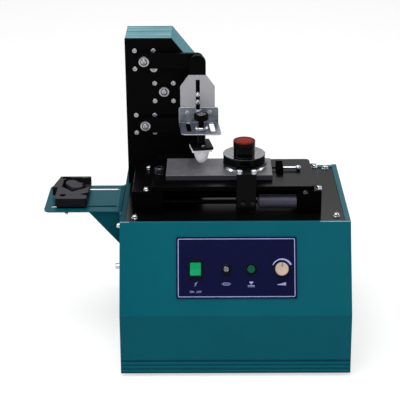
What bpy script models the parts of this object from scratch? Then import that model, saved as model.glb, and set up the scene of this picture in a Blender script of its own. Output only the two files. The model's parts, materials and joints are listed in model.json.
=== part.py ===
"""Desktop pad printing machine.

A sheet metal cabinet carries a black column on the left of its deck. Two equal arms swing from
the column as a parallelogram and carry the printing head from the etched plate, over the top,
to a jig on a side shelf, while an ink cup slides over the plate. Units are metres, +Z is up.

Every piece hangs on one empty, the machine, whose frame is the deck's: X from the middle of the
cabinet, Y from the front edge of the deck towards the back, Z above that edge. The part's own
origin is the bottom centre of the whole machine.
"""

import math

import bmesh
import bpy
from mathutils import Matrix, Vector

# General clearances
GAP = 0.0003
RUNNING_GAP = 0.001
FIT = 0.0001
OVERRUN = 0.002
EDGE = 0.0006
SOFT_EDGE = 0.0015

# Cabinet
CABINET_WIDTH = 0.430
CABINET_HEIGHT = 0.271
BEND_DEPTH = 0.0794
BEND_DROP = 0.1553
TOE_DEPTH = 0.0889
SHEET = 0.0015
SIDE_FLANGE = 0.010
FRONT_FLANGE = 0.004
PLINTH_HEIGHT = 0.024
TRAY_BACK_LIP = 0.012
DECK_THICKNESS = 0.002
BACK_RECESS = 0.003

# Feet
FOOT_HEIGHT = 0.006
FOOT_RADIUS = 0.014
FOOT_TAPER = 0.002
FOOT_INSET = 0.032

# Control panel on the sloping front, measured down the slope from the deck edge
PANEL_WIDTH = 0.2234
PANEL_HEIGHT = 0.114
PANEL_THICKNESS = 0.002
PANEL_TOP = 0.028
PANEL_OFFSET = 0.002
PANEL_CORNER = 0.002
CONTROL_ROW = 0.0883
ROCKER_X = -0.074
BEZEL_WIDTH = 0.0263
BEZEL_HEIGHT = 0.034
BEZEL_DEPTH = 0.003
ROCKER_WIDTH = 0.0208
ROCKER_HEIGHT = 0.0265
ROCKER_RISE = 0.0042
ROCKER_DIP = 0.001
ROCKER_BODY_DEPTH = 0.018
ROCKER_TILT = math.radians(8)
FUSE_X = -0.0171
FUSE_RADIUS = 0.0093
FUSE_RISE = 0.009
FUSE_NECK_RADIUS = 0.006
FUSE_BODY_DEPTH = 0.022
FUSE_SLOT = 0.0016
BUTTON_X = 0.029
BUTTON_RADIUS = 0.0078
BUTTON_RISE = 0.007
BUTTON_TRAVEL = 0.003
BUTTON_STEM_RADIUS = 0.004
BUTTON_STEM_DEPTH = 0.012
SPEED_X = 0.0854
SPEED_RADIUS = 0.0124
SPEED_SKIRT_RADIUS = 0.0135
SPEED_SKIRT_HEIGHT = 0.003
SPEED_RISE = 0.016
SPEED_SHAFT_RADIUS = 0.003
SPEED_SHAFT_DEPTH = 0.015
SPEED_MARK = 0.0012

# Power inlet, supply and board
INLET_WIDTH = 0.048
INLET_HEIGHT = 0.0225
INLET_FLANGE = 0.0022
INLET_BODY_WIDTH = 0.027
INLET_BODY_DEPTH = 0.020
INLET_BODY_HEIGHT = 0.0195
INLET_SOCKET_WIDTH = 0.0235
INLET_SOCKET_HEIGHT = 0.0155
INLET_SOCKET_DEPTH = 0.016
INLET_PIN_LENGTH = 0.009
INLET_PIN_WIDTH = 0.002
INLET_PIN_HEIGHT = 0.004
INLET_PIN_PITCH = 0.007
INLET_INSET = 0.095
INLET_BASE_HEIGHT = 0.066
SUPPLY_INSET = 0.035
SUPPLY_DEPTH = 0.098
SUPPLY_HEIGHT = 0.045
SUPPLY_BOARD_SPACE = 0.055
SUPPLY_Y = 0.120
BOARD_SIZE = (0.140, 0.090, 0.0016)
BOARD_INSET = 0.040
BOARD_Y = 0.110
BOARD_POST_RADIUS = 0.003
BOARD_POST_HEIGHT = 0.012
BOARD_POST_INSET = 0.006
BOARD_BLOCK_HEIGHT = 0.020

# Column
COLUMN_INSET = 0.006
COLUMN_WIDTH = 0.148
COLUMN_DEPTH = 0.094
COLUMN_BED_GAP = 0.0095
COLUMN_CAP_HEIGHT = 0.041
CHAMFER_WIDTH = 0.0585
CHAMFER_HEIGHT = 0.0736
COLUMN_PLATE = 0.006
COLUMN_BACK_INSET = 0.006

# Arms: two equal cranks, one above the other
PIVOT_INSET = 0.037
PIVOT_SPACING = 0.130
ARM_LENGTH_SHARE = 0.238372093
ARM_WIDTH = 0.030
ARM_THICKNESS = 0.008
ARM_TAIL = 0.0115
ARM_STANDOFF = 0.005
ARM_COLLAR_RADIUS = 0.009
ARM_COLLAR_LENGTH = 0.007
PIN_RADIUS = 0.006
SHAFT_RADIUS = 0.006
BOLT_HEAD_RADIUS = 0.0098
BOLT_HEAD_HEIGHT = 0.006
FLUSH_HEAD_HEIGHT = 0.0042

# Bearings and gears behind the column plate
BEARING_FLANGE = 0.052
BEARING_CORNER = 0.006
BEARING_DEPTH = 0.006
BEARING_BOSS_RADIUS = 0.014
GEAR_MODULE = 0.0025
ARM_GEAR_TEETH = 26
DRIVE_GEAR_TEETH = 34
GEAR_WIDTH = 0.008
ADDENDUM_SHARE = 0.70
DEDENDUM_SHARE = 1.05
TOOTH_FOOT_SHARE = 0.29
TOOTH_TIP_SHARE = 0.13
SHAFT_TAIL = 0.0015

# Swing motor in the column
MOTOR_PLATE_SETBACK = 0.006
MOTOR_PLATE = 0.003
MOTOR_POST_RADIUS = 0.005
MOTOR_PLATE_MARGIN = 0.007
MOTOR_POST_SIDE = 0.0345
MOTOR_POST_RISE = 0.049
MOTOR_POST_REACH = 0.0655
GEARBOX_SIDE = 0.060
GEARBOX_DEPTH = 0.024
MOTOR_RADIUS = 0.027
MOTOR_DEPTH = 0.036
COUPLING_DEPTH = 0.008

# Head
HEAD_BAR_WIDTH = 0.032
HEAD_BAR_THICKNESS = 0.010
SLOTTED_WIDTH = 0.065
SLOTTED_TOP_WIDTH = 0.032
SLOTTED_THICKNESS = 0.003
SLOTTED_HEIGHT = 0.0915
SLOTTED_BELOW_PIVOT_HEIGHT = 0.0245
SLOTTED_CHAMFER_HEIGHT = 0.022
SLOT_WIDTH = 0.007
SLOT_TOP_MARGIN = 0.009
SLOT_BOTTOM_MARGIN = 0.020
BRACKET_WIDTH = 0.075
BRACKET_THICKNESS = 0.0022
BRACKET_LIP = 0.0255
BRACKET_REACH = 0.070
BRACKET_BACK_SHIFT = 0.001
BRACKET_SKEW = 0.006
BRACKET_SLOT_WIDTH = 0.0095
BRACKET_SLOT_LENGTH = 0.048
BRACKET_SLOT_SIDE = 0.0235
BRACKET_SLOT_BACK = 0.012
BRACKET_CORNER = 0.003

# Pad
PAD_OFFSET_X = 0.007
PAD_Y = 0.119
PAD_CLEARANCE = 0.0072
PAD_RADIUS = 0.0138
PAD_DOME_HEIGHT = 0.0225
PAD_BASE_SIDE = 0.036
PAD_BASE_HEIGHT = 0.0055
HOLDER_WIDTH = 0.040
HOLDER_DEPTH = 0.052
HOLDER_SETBACK = 0.004
HOLDER_HEIGHT = 0.005
HOLDER_TURN = math.radians(10)
STEM_RADIUS = 0.008
STEM_THREAD_RADIUS = 0.005
NUT_RADIUS = 0.013
NUT_HEIGHT = 0.004
STEM_LENGTH = 0.0319
STEM_THREAD_LENGTH = 0.021
PAD_KNOB_RADIUS = 0.0136
PAD_KNOB_HEIGHT = 0.011

# Bed
BED_LEFT_INSET = 0.022
BED_RIGHT_INSET = 0.052
BED_FRONT = 0.041
BED_DEPTH = 0.1445
LEFT_BLOCK_WIDTH = 0.058
RIGHT_BLOCK_WIDTH = 0.046
BLOCK_TOP = 0.0442
PLATFORM_LEFT_INSET = 0.037
PLATFORM_RIGHT_INSET = 0.0135
PLATFORM_THICKNESS = 0.0095
PLATFORM_CORNER = 0.008
PLATE_LEFT_MARGIN = 0.026
PLATE_LENGTH = 0.202
PLATE_FRONT = 0.071
PLATE_WIDTH = 0.091
PLATE_THICKNESS = 0.0105
STOP_LEFT_MARGIN = 0.008
STOP_LENGTH = 0.069
STOP_WIDTH = 0.017
STOP_HEIGHT = 0.0125
CLAMP_WIDTH = 0.0135
CLAMP_DEPTH = 0.042
CLAMP_STANDOFF = 0.009
CLAMP_SCREW_RADIUS = 0.0028
CLAMP_SCREW_Y = 0.124
CLAMP_TRAVEL = 0.006
CLAMP_GRIP_REACH = 0.0285
CLAMP_GRIP_RADIUS = 0.0055
PLATE_KNOB_MARGIN = 0.0135
PLATE_KNOB_Y = 0.112
PLATE_KNOB_RADIUS = 0.0095
PLATE_KNOB_HEIGHT = 0.012

# Ink cup drive in the bed
SCREW_Y = 0.052
SCREW_HEIGHT = 0.0187
SCREW_RADIUS = 0.005
SCREW_SEAT = 0.010
CUP_MOTOR_RADIUS = 0.0115
CUP_MOTOR_CLEARANCE = 0.0032
CUP_MOTOR_BOSS_RADIUS = 0.007
CUP_MOTOR_BOSS = 0.002
GUIDE_Y = 0.092
GUIDE_RADIUS = 0.008
GUIDE_SEAT = 0.015
CARRIAGE_HEIGHT = 0.025
CARRIAGE_BACK = 0.104

# Ink cup
CUP_PAD_SPACING = 0.0818
CUP_BRACKET_SHIFT = 0.0022
CUP_BRACKET_WIDTH = 0.037
CUP_BRACKET_FRONT = 0.033
CUP_BRACKET_THICKNESS = 0.005
CUP_BRACKET_DROP = 0.0052
CUP_BRACKET_RISE = 0.0159
CUP_BRACKET_REACH = 0.022
CUP_FLANGE_THICKNESS = 0.0045
FORK_THICKNESS = 0.004
FORK_RADIUS = 0.0435
CUP_WAIST_RADIUS = 0.036
CUP_RADIUS = 0.040
CUP_RING_HEIGHT = 0.0058
CUP_HEIGHT = 0.0242
CUP_WALL = 0.004
CUP_ROOF = 0.004
DISC_RADIUS = 0.0405
DISC_THICKNESS = 0.0024
CUP_KNOB_RADIUS = 0.0205
CUP_KNOB_WAIST = 0.0198
CUP_KNOB_HEIGHT = 0.0257
CUP_KNOB_CROWN = 0.0015

# Side shelf
SHELF_REACH = 0.148
SHELF_FRONT = 0.0525
SHELF_DEPTH = 0.1305
SHELF_SHEET = 0.0025
SHELF_CORNER = 0.012
SHELF_SLOT_WIDTH = 0.008
SHELF_SLOT_FRONT = 0.077
SHELF_SLOT_BACK = 0.165
SHELF_SLOT_LEFT = 0.014
SHELF_SLOT_RIGHT = 0.012
SHELF_FLANGE_DROP = 0.078
SHELF_FLANGE_FRONT = 0.036
GUSSET_REACH = 0.064
GUSSET_SETBACK = 0.004

# Jig
JIG_OUT = 0.097
JIG_WIDTH = 0.061
JIG_FRONT = 0.0645
JIG_LENGTH = 0.1155
JIG_BASE_HEIGHT = 0.003
JIG_BASE_INSET = 0.003
JIG_HEIGHT = 0.021
JIG_MEET = 0.0585
JIG_CORNER = 0.006
FRONT_V_DEPTH = 0.023
FRONT_V_LEFT = 0.0115
FRONT_V_RIGHT = 0.0025
BACK_JAW_OVERHANG = 0.011
NEST_WIDTH = 0.045
NEST_DEPTH = 0.050
NEST_CORNER = 0.012
REST_HEIGHT = 0.015
REST_SIDE = 0.0165
REST_REACH = 0.0115
REST_BACK = 0.0345
JIG_HOLE_RADIUS = 0.0062
JIG_HOLE_LEFT = 0.017
JIG_HOLE_FRONT = 0.0175
JIG_STUD_OFFSET = 0.0106
JIG_STUD_RADIUS = 0.003
JIG_STUD_LENGTH = 0.016
JIG_RELIEF_LENGTH = 0.008
JIG_RELIEF_WIDTH = 0.004
JIG_RELIEF_STEP = 0.0255

# Places that follow from the sizes above
CABINET_LEFT = -CABINET_WIDTH / 2
CABINET_RIGHT = CABINET_WIDTH / 2
DECK_TOP = -SHEET - GAP
INLET_X = CABINET_RIGHT - INLET_INSET
BOARD_X = CABINET_RIGHT - BOARD_INSET - BOARD_SIZE[0] / 2
SUPPLY_RIGHT = BOARD_X - BOARD_SIZE[0] / 2 - SUPPLY_BOARD_SPACE
BED_LEFT = CABINET_LEFT + BED_LEFT_INSET
BED_RIGHT = CABINET_RIGHT - BED_RIGHT_INSET
PLATFORM_LEFT = BED_LEFT + PLATFORM_LEFT_INSET
PLATFORM_RIGHT = BED_RIGHT - PLATFORM_RIGHT_INSET
PLATE_LEFT = PLATFORM_LEFT + PLATE_LEFT_MARGIN
STOP_LEFT = PLATFORM_LEFT + STOP_LEFT_MARGIN
PLATE_KNOB_X = PLATFORM_LEFT + PLATE_KNOB_MARGIN
CLAMP_HEIGHT = PLATE_THICKNESS
ARM_LENGTH = CABINET_WIDTH * ARM_LENGTH_SHARE
BED_BACK = BED_FRONT + BED_DEPTH
COLUMN_FRONT = BED_BACK + COLUMN_BED_GAP
COLUMN_BACK = COLUMN_FRONT + COLUMN_DEPTH
DECK_DEPTH = COLUMN_BACK + COLUMN_BACK_INSET
PLATFORM_BOTTOM = BLOCK_TOP + GAP
PLATFORM_TOP = PLATFORM_BOTTOM + PLATFORM_THICKNESS
PLATE_TOP = PLATFORM_TOP + GAP + PLATE_THICKNESS
PAD_TIP = PLATE_TOP + PAD_CLEARANCE
PAD_BASE_BOTTOM = PAD_TIP + PAD_DOME_HEIGHT
HOLDER_BOTTOM = PAD_BASE_BOTTOM + PAD_BASE_HEIGHT + GAP
HOLDER_TOP = HOLDER_BOTTOM + HOLDER_HEIGHT
BRACKET_SHELF_TOP = HOLDER_TOP + GAP + STEM_LENGTH + GAP + BRACKET_THICKNESS
STEM_TOP = BRACKET_SHELF_TOP + STEM_THREAD_LENGTH
SLOTTED_TOP = BRACKET_SHELF_TOP + SLOTTED_HEIGHT
SLOT_TOP = SLOTTED_TOP - SLOT_TOP_MARGIN
SLOT_BOTTOM = BRACKET_SHELF_TOP + SLOT_BOTTOM_MARGIN
UPPER_PIVOT_HEIGHT = SLOTTED_TOP + SLOTTED_BELOW_PIVOT_HEIGHT
COLUMN_HEIGHT = UPPER_PIVOT_HEIGHT + COLUMN_CAP_HEIGHT
INLET_Z = -CABINET_HEIGHT + INLET_BASE_HEIGHT
COLUMN_LEFT = CABINET_LEFT + COLUMN_INSET
COLUMN_RIGHT = COLUMN_LEFT + COLUMN_WIDTH
COLUMN_PLATE_BACK = COLUMN_FRONT + COLUMN_PLATE
PIVOT_X = COLUMN_LEFT + PIVOT_INSET
LOWER_PIVOT_HEIGHT = UPPER_PIVOT_HEIGHT - PIVOT_SPACING
ARM_GEAR_RADIUS = GEAR_MODULE * ARM_GEAR_TEETH / 2
DRIVE_GEAR_RADIUS = GEAR_MODULE * DRIVE_GEAR_TEETH / 2
DRIVE_HEIGHT = (UPPER_PIVOT_HEIGHT + LOWER_PIVOT_HEIGHT) / 2
GEAR_CENTRES = ARM_GEAR_RADIUS + DRIVE_GEAR_RADIUS
DRIVE_X = PIVOT_X + math.sqrt(GEAR_CENTRES ** 2 - (PIVOT_SPACING / 2) ** 2)
ARM_BACK = COLUMN_FRONT - ARM_STANDOFF
ARM_FRONT = ARM_BACK - ARM_THICKNESS
HEAD_X = PIVOT_X + ARM_LENGTH
HEAD_BAR_BACK = ARM_FRONT - ARM_COLLAR_LENGTH
HEAD_BAR_FRONT = HEAD_BAR_BACK - HEAD_BAR_THICKNESS
SLOTTED_FRONT = HEAD_BAR_FRONT - GAP - SLOTTED_THICKNESS
BRACKET_BACK = SLOTTED_FRONT - GAP
PAD_X = HEAD_X + PAD_OFFSET_X
BEARING_BACK = COLUMN_PLATE_BACK + GAP + BEARING_DEPTH
GEAR_FRONT = BEARING_BACK + RUNNING_GAP
GEAR_BACK = GEAR_FRONT + GEAR_WIDTH
MOTOR_PLATE_FRONT = GEAR_BACK + MOTOR_PLATE_SETBACK
MOTOR_FRONT = MOTOR_PLATE_FRONT + MOTOR_PLATE + GAP
RIGHT_BLOCK_LEFT = BED_RIGHT - RIGHT_BLOCK_WIDTH
CUP_X = PAD_X + CUP_PAD_SPACING
CUP_BRACKET_X = CUP_X + CUP_BRACKET_SHIFT
CUP_BRACKET_RIGHT = CUP_BRACKET_X + CUP_BRACKET_WIDTH / 2
CUP_MOTOR_LENGTH = RIGHT_BLOCK_LEFT - GAP - CUP_BRACKET_RIGHT - CUP_MOTOR_CLEARANCE
JIG_X = CABINET_LEFT - JIG_OUT
LEFT_BLOCK_RIGHT = BED_LEFT + LEFT_BLOCK_WIDTH
CUP_BOTTOM = PLATE_TOP + GAP
CUP_TOP = CUP_BOTTOM + CUP_HEIGHT
CUP_BRACKET_TOP = PLATE_TOP + CUP_BRACKET_RISE
CUP_BRACKET_BOTTOM = SCREW_HEIGHT - CUP_BRACKET_DROP
FLANGE_BOTTOM = CUP_BRACKET_TOP - CUP_FLANGE_THICKNESS
FORK_TOP = FLANGE_BOTTOM - GAP
FORK_BOTTOM = FORK_TOP - FORK_THICKNESS
CUP_BRACKET_BACK = CUP_BRACKET_FRONT + CUP_BRACKET_THICKNESS
DISC_BOTTOM = CUP_TOP + GAP
CUP_KNOB_BOTTOM = DISC_BOTTOM + DISC_THICKNESS + GAP
SHELF_LEFT = CABINET_LEFT - SHELF_REACH
SHELF_RIGHT = CABINET_LEFT - GAP
SHELF_BACK = SHELF_FRONT + SHELF_DEPTH
JIG_BACK = JIG_FRONT + JIG_LENGTH
JIG_LEFT = JIG_X - JIG_WIDTH / 2
JIG_RIGHT = JIG_X + JIG_WIDTH / 2
JIG_SPLIT = JIG_FRONT + JIG_MEET
TRAY_TOP = -CABINET_HEIGHT + SHEET

# Fineness of round shapes
FINE = 48
ROUND = 32
SMALL = 20
ARC = 6

PAINT = {
    "teal": ("#125D6A", 0.45, 0.0),
    "black": ("#141416", 0.45, 0.0),
    "deck": ("#232226", 0.35, 0.0),
    "steel": ("#B9BCC2", 0.30, 1.0),
    "dark_steel": ("#5E6168", 0.40, 1.0),
    "zinc": ("#C9CCD1", 0.35, 1.0),
    "rubber": ("#1A1A1B", 0.85, 0.0),
    "navy": ("#14183A", 0.40, 0.0),
    "green": ("#0E8A52", 0.35, 0.0),
    "ivory": ("#D8D2C0", 0.40, 0.0),
    "silicone": ("#E9E6F0", 0.35, 0.0),
    "red": ("#D8432B", 0.40, 0.0),
    "clear": ("#C8CED2", 0.15, 0.0),
    "board": ("#1F5A37", 0.60, 0.0),
}


def linear(channel):
    """One sRGB channel, 0 to 1, as a linear value."""
    return channel / 12.92 if channel <= 0.04045 else ((channel + 0.055) / 1.055) ** 2.4


def paint(name):
    """The named finish, made once."""
    found = bpy.data.materials.get(name)
    if found:
        return found
    code, roughness, metallic = PAINT[name]
    rgb = [linear(int(code[i:i + 2], 16) / 255) for i in (1, 3, 5)]
    made = bpy.data.materials.new(name)
    made.use_nodes = True
    shader = made.node_tree.nodes["Principled BSDF"]
    shader.inputs["Base Color"].default_value = (*rgb, 1)
    shader.inputs["Roughness"].default_value = roughness
    shader.inputs["Metallic"].default_value = metallic
    return made


def finish(name, bm, finish_name, parent, origin):
    """Turn a bmesh in the parent's frame into an object whose own origin is at the given point."""
    bmesh.ops.remove_doubles(bm, verts=bm.verts, dist=GAP / 100)
    bmesh.ops.recalc_face_normals(bm, faces=bm.faces)
    bmesh.ops.translate(bm, verts=bm.verts, vec=-Vector(origin))
    mesh = bpy.data.meshes.new(name)
    bm.to_mesh(mesh)
    bm.free()
    mesh.shade_smooth()
    mesh.set_sharp_from_angle(angle=math.radians(35))
    made = bpy.data.objects.new(name, mesh)
    made.location = origin
    made.parent = parent
    mesh.materials.append(paint(finish_name))
    bpy.context.scene.collection.objects.link(made)
    return made


AXES = {
    "X": lambda a, b, along: (along, a, b),
    "Y": lambda a, b, along: (a, along, b),
    "Z": lambda a, b, along: (a, b, along),
}


def prism(name, outline, axis, start, end, finish_name, parent, origin=(0, 0, 0)):
    """An outline, given in the two other axes in order, extruded from start to end along an axis."""
    bm = bmesh.new()
    rings = []
    for along in (start, end):
        rings.append([bm.verts.new(AXES[axis](a, b, along)) for a, b in outline])
    bm.faces.new(rings[0])
    bm.faces.new(rings[1])
    count = len(outline)
    for i in range(count):
        j = (i + 1) % count
        bm.faces.new((rings[0][i], rings[0][j], rings[1][j], rings[1][i]))
    return finish(name, bm, finish_name, parent, origin)


def block(name, low, high, finish_name, parent, origin=None, edge=0):
    """A box between two corners, with its edges bevelled when an edge width is given."""
    outline = [(low[0], low[1]), (high[0], low[1]), (high[0], high[1]), (low[0], high[1])]
    middle = [(a + b) / 2 for a, b in zip(low, high)]
    made = prism(name, outline, "Z", low[2], high[2], finish_name, parent, origin or middle)
    if edge:
        bevel(made, edge)
    return made


def bevel(made, width, segments=1):
    """Round off the sharp edges of an object."""
    modifier = made.modifiers.new("edges", "BEVEL")
    modifier.width = width
    modifier.segments = segments
    modifier.limit_method = "ANGLE"
    modifier.angle_limit = math.radians(50)


def turned(name, profile, axis, centre, finish_name, parent, origin=None, sides=ROUND):
    """A closed profile of (radius, place along the axis) turned about an axis through centre."""
    bm = bmesh.new()
    rings = []
    for radius, along in profile:
        if radius == 0:
            rings.append([bm.verts.new(AXES[axis](0, 0, along))])
            continue
        ring = []
        for i in range(sides):
            angle = 2 * math.pi * i / sides
            ring.append(bm.verts.new(AXES[axis](radius * math.cos(angle), radius * math.sin(angle), along)))
        rings.append(ring)
    for first, second in zip(rings, rings[1:] + rings[:1]):
        if len(first) == 1 and len(second) == 1:
            continue
        for i in range(sides):
            j = (i + 1) % sides
            corners = [first[i % len(first)], first[j % len(first)]]
            corners += [second[j % len(second)], second[i % len(second)]]
            corners = list(dict.fromkeys(corners))
            bm.faces.new(corners)
    bmesh.ops.translate(bm, verts=bm.verts, vec=centre)
    return finish(name, bm, finish_name, parent, centre if origin is None else origin)


def rod(name, axis, centre, radius, start, end, finish_name, parent, origin=None, sides=ROUND):
    """A plain round bar from start to end, measured from the centre along the axis."""
    profile = [(0, start), (radius, start), (radius, end), (0, end)]
    return turned(name, profile, axis, centre, finish_name, parent, origin, sides)


def helper(made):
    """Mark an object as a tool for a Boolean, which isn't a piece of the machine."""
    made.hide_render = True
    made.display_type = "WIRE"
    return made


def boolean(target, tools, operation):
    """Add one exact Boolean for each tool."""
    for tool in tools:
        modifier = target.modifiers.new(tool.name, "BOOLEAN")
        modifier.operation = operation
        modifier.solver = "EXACT"
        modifier.object = helper(tool)


def cut(target, *tools):
    boolean(target, tools, "DIFFERENCE")


def add(target, *tools):
    boolean(target, tools, "UNION")


def arc(centre, radius, first, last, steps=ARC):
    """Points on a circle from one angle to another, both included."""
    points = []
    for i in range(steps + 1):
        angle = first + (last - first) * i / steps
        points.append((centre[0] + radius * math.cos(angle), centre[1] + radius * math.sin(angle)))
    return points


def rounded(low, high, radii):
    """A rectangle's outline, with a radius for each corner from low-left, counter-clockwise."""
    corners = [(low[0], low[1]), (high[0], low[1]), (high[0], high[1]), (low[0], high[1])]
    inward = [(1, 1), (-1, 1), (-1, -1), (1, -1)]
    points = []
    for i, (corner, way, radius) in enumerate(zip(corners, inward, radii)):
        if radius == 0:
            points.append(corner)
            continue
        centre = (corner[0] + way[0] * radius, corner[1] + way[1] * radius)
        start = math.pi + i * math.pi / 2
        points += arc(centre, radius, start, start + math.pi / 2)
    return points


def slot_outline(first, second, width):
    """A round-ended slot between two centres."""
    angle = math.atan2(second[1] - first[1], second[0] - first[0])
    side = math.pi / 2
    points = arc(second, width / 2, angle - side, angle + side)
    return points + arc(first, width / 2, angle + side, angle + 3 * side)


def offset(points, distance):
    """An open line of points moved to its left by a distance, with mitred corners."""
    normals = []
    for (x0, y0), (x1, y1) in zip(points, points[1:]):
        length = math.hypot(x1 - x0, y1 - y0)
        normals.append(((y0 - y1) / length, (x1 - x0) / length))
    moved = []
    for i, (x, y) in enumerate(points):
        before = normals[max(i - 1, 0)]
        after = normals[min(i, len(normals) - 1)]
        share = 1 + before[0] * after[0] + before[1] * after[1]
        moved.append((x + distance * (before[0] + after[0]) / share,
                      y + distance * (before[1] + after[1]) / share))
    return moved


def folded(points, thickness):
    """The outline of a sheet folded along a line of points, with its thickness to the left."""
    return points + list(reversed(offset(points, thickness)))


for old in list(bpy.data.objects):
    bpy.data.objects.remove(old, do_unlink=True)

machine = bpy.data.objects.new("machine", None)
machine.location = (
    SHELF_REACH / 2,
    (TOE_DEPTH - DECK_DEPTH) / 2,
    CABINET_HEIGHT + FOOT_HEIGHT + GAP,
)
bpy.context.scene.collection.objects.link(machine)

# The sloping front face, with X across, Y up the slope and Z outwards
front_face = bpy.data.objects.new("front_face", None)
front_face.parent = machine
front_face.rotation_euler = (math.atan2(BEND_DROP, BEND_DEPTH), 0, 0)
bpy.context.scene.collection.objects.link(front_face)


def toe_y(height):
    """How far forward the lower front stands at a height below the bend."""
    share = (-height - BEND_DROP) / (CABINET_HEIGHT - BEND_DROP)
    return -BEND_DEPTH - (TOE_DEPTH - BEND_DEPTH) * share


def cabinet():
    """Painted sheet panels, each bent from one sheet and screwed together inside."""
    seam = -CABINET_HEIGHT + PLINTH_HEIGHT
    fold = [(FRONT_FLANGE, 0), (0, 0), (-BEND_DEPTH, -BEND_DROP), (toe_y(seam + GAP), seam + GAP)]
    front = prism("front_panel", folded(fold, SHEET), "X", CABINET_LEFT, CABINET_RIGHT, "teal", machine)
    cut_rocker = block(
        "rocker_hole",
        (ROCKER_X - ROCKER_WIDTH / 2 - OVERRUN / 2, -CONTROL_ROW - ROCKER_HEIGHT / 2 - OVERRUN / 2, -SHEET - OVERRUN),
        (ROCKER_X + ROCKER_WIDTH / 2 + OVERRUN / 2, -CONTROL_ROW + ROCKER_HEIGHT / 2 + OVERRUN / 2, OVERRUN),
        "teal", front_face)
    holes = [("fuse_hole", FUSE_X, FUSE_NECK_RADIUS), ("button_hole", BUTTON_X, BUTTON_STEM_RADIUS),
             ("speed_hole", SPEED_X, SPEED_SHAFT_RADIUS)]
    tools = [cut_rocker]
    for name, x, radius in holes:
        tools.append(rod(name, "Z", (x, -CONTROL_ROW, 0), radius + GAP + GAP, -SHEET - OVERRUN, OVERRUN,
                         "teal", front_face, sides=SMALL))
    cut(front, *tools)

    toe = [(toe_y(seam), seam), (-TOE_DEPTH, -CABINET_HEIGHT), (DECK_DEPTH, -CABINET_HEIGHT),
           (DECK_DEPTH, -CABINET_HEIGHT + TRAY_BACK_LIP)]
    prism("base_tray", folded(toe, SHEET), "X", CABINET_LEFT, CABINET_RIGHT, "teal", machine)

    # A side follows the front panel and the tray from the inside, with a flange under the deck edge
    inner = offset(fold, SHEET + GAP)
    bottom = offset(toe, SHEET + GAP)
    outline = [(FRONT_FLANGE + GAP, 0), (FRONT_FLANGE + GAP, inner[0][1]), *inner[1:3],
               bottom[0], bottom[1], bottom[2], (bottom[3][0], bottom[3][1] + GAP),
               (DECK_DEPTH, bottom[3][1] + GAP), (DECK_DEPTH, 0)]
    for name, outer, way in (("left_side", CABINET_LEFT, 1), ("right_side", CABINET_RIGHT, -1)):
        side = prism(name, outline, "X", min(outer, outer + way * SHEET), max(outer, outer + way * SHEET),
                     "teal", machine)
        inner_edge = outer + way * SIDE_FLANGE
        flange = block(name + "_flange", (min(outer + way * SHEET / 2, inner_edge), FRONT_FLANGE + GAP, -SHEET),
                       (max(outer + way * SHEET / 2, inner_edge), DECK_DEPTH, 0), "teal", machine)
        add(side, flange)

    inside = CABINET_WIDTH / 2 - SHEET - GAP
    back_outer = DECK_DEPTH - BACK_RECESS
    back = block("back_panel", (-inside, back_outer - SHEET, -CABINET_HEIGHT + SHEET + GAP),
                 (inside, back_outer, DECK_TOP - DECK_THICKNESS - GAP), "teal", machine)
    inlet_hole = block(
        "inlet_hole",
        (INLET_X - INLET_BODY_WIDTH / 2 - GAP, back_outer - SHEET - OVERRUN, INLET_Z - INLET_BODY_HEIGHT / 2 - GAP),
        (INLET_X + INLET_BODY_WIDTH / 2 + GAP, back_outer + OVERRUN, INLET_Z + INLET_BODY_HEIGHT / 2 + GAP),
        "teal", machine)
    cut(back, inlet_hole)

    deck_front = inner[1][0] + (-DECK_TOP) * BEND_DEPTH / BEND_DROP + GAP
    block("deck_plate", (-inside, deck_front, DECK_TOP - DECK_THICKNESS),
          (inside, DECK_DEPTH - BACK_RECESS, DECK_TOP), "deck", machine)


def feet():
    """Four moulded rubber feet under the tray."""
    places = {
        "front_left_foot": (CABINET_LEFT + FOOT_INSET, -TOE_DEPTH + FOOT_INSET),
        "front_right_foot": (CABINET_RIGHT - FOOT_INSET, -TOE_DEPTH + FOOT_INSET),
        "back_left_foot": (CABINET_LEFT + FOOT_INSET, DECK_DEPTH - FOOT_INSET),
        "back_right_foot": (CABINET_RIGHT - FOOT_INSET, DECK_DEPTH - FOOT_INSET),
    }
    top = -CABINET_HEIGHT - GAP
    for name, (x, y) in places.items():
        profile = [(0, -FOOT_HEIGHT), (FOOT_RADIUS - FOOT_TAPER, -FOOT_HEIGHT), (FOOT_RADIUS, 0), (0, 0)]
        turned(name, profile, "Z", (x, y, top), "rubber", machine, sides=SMALL)


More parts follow.
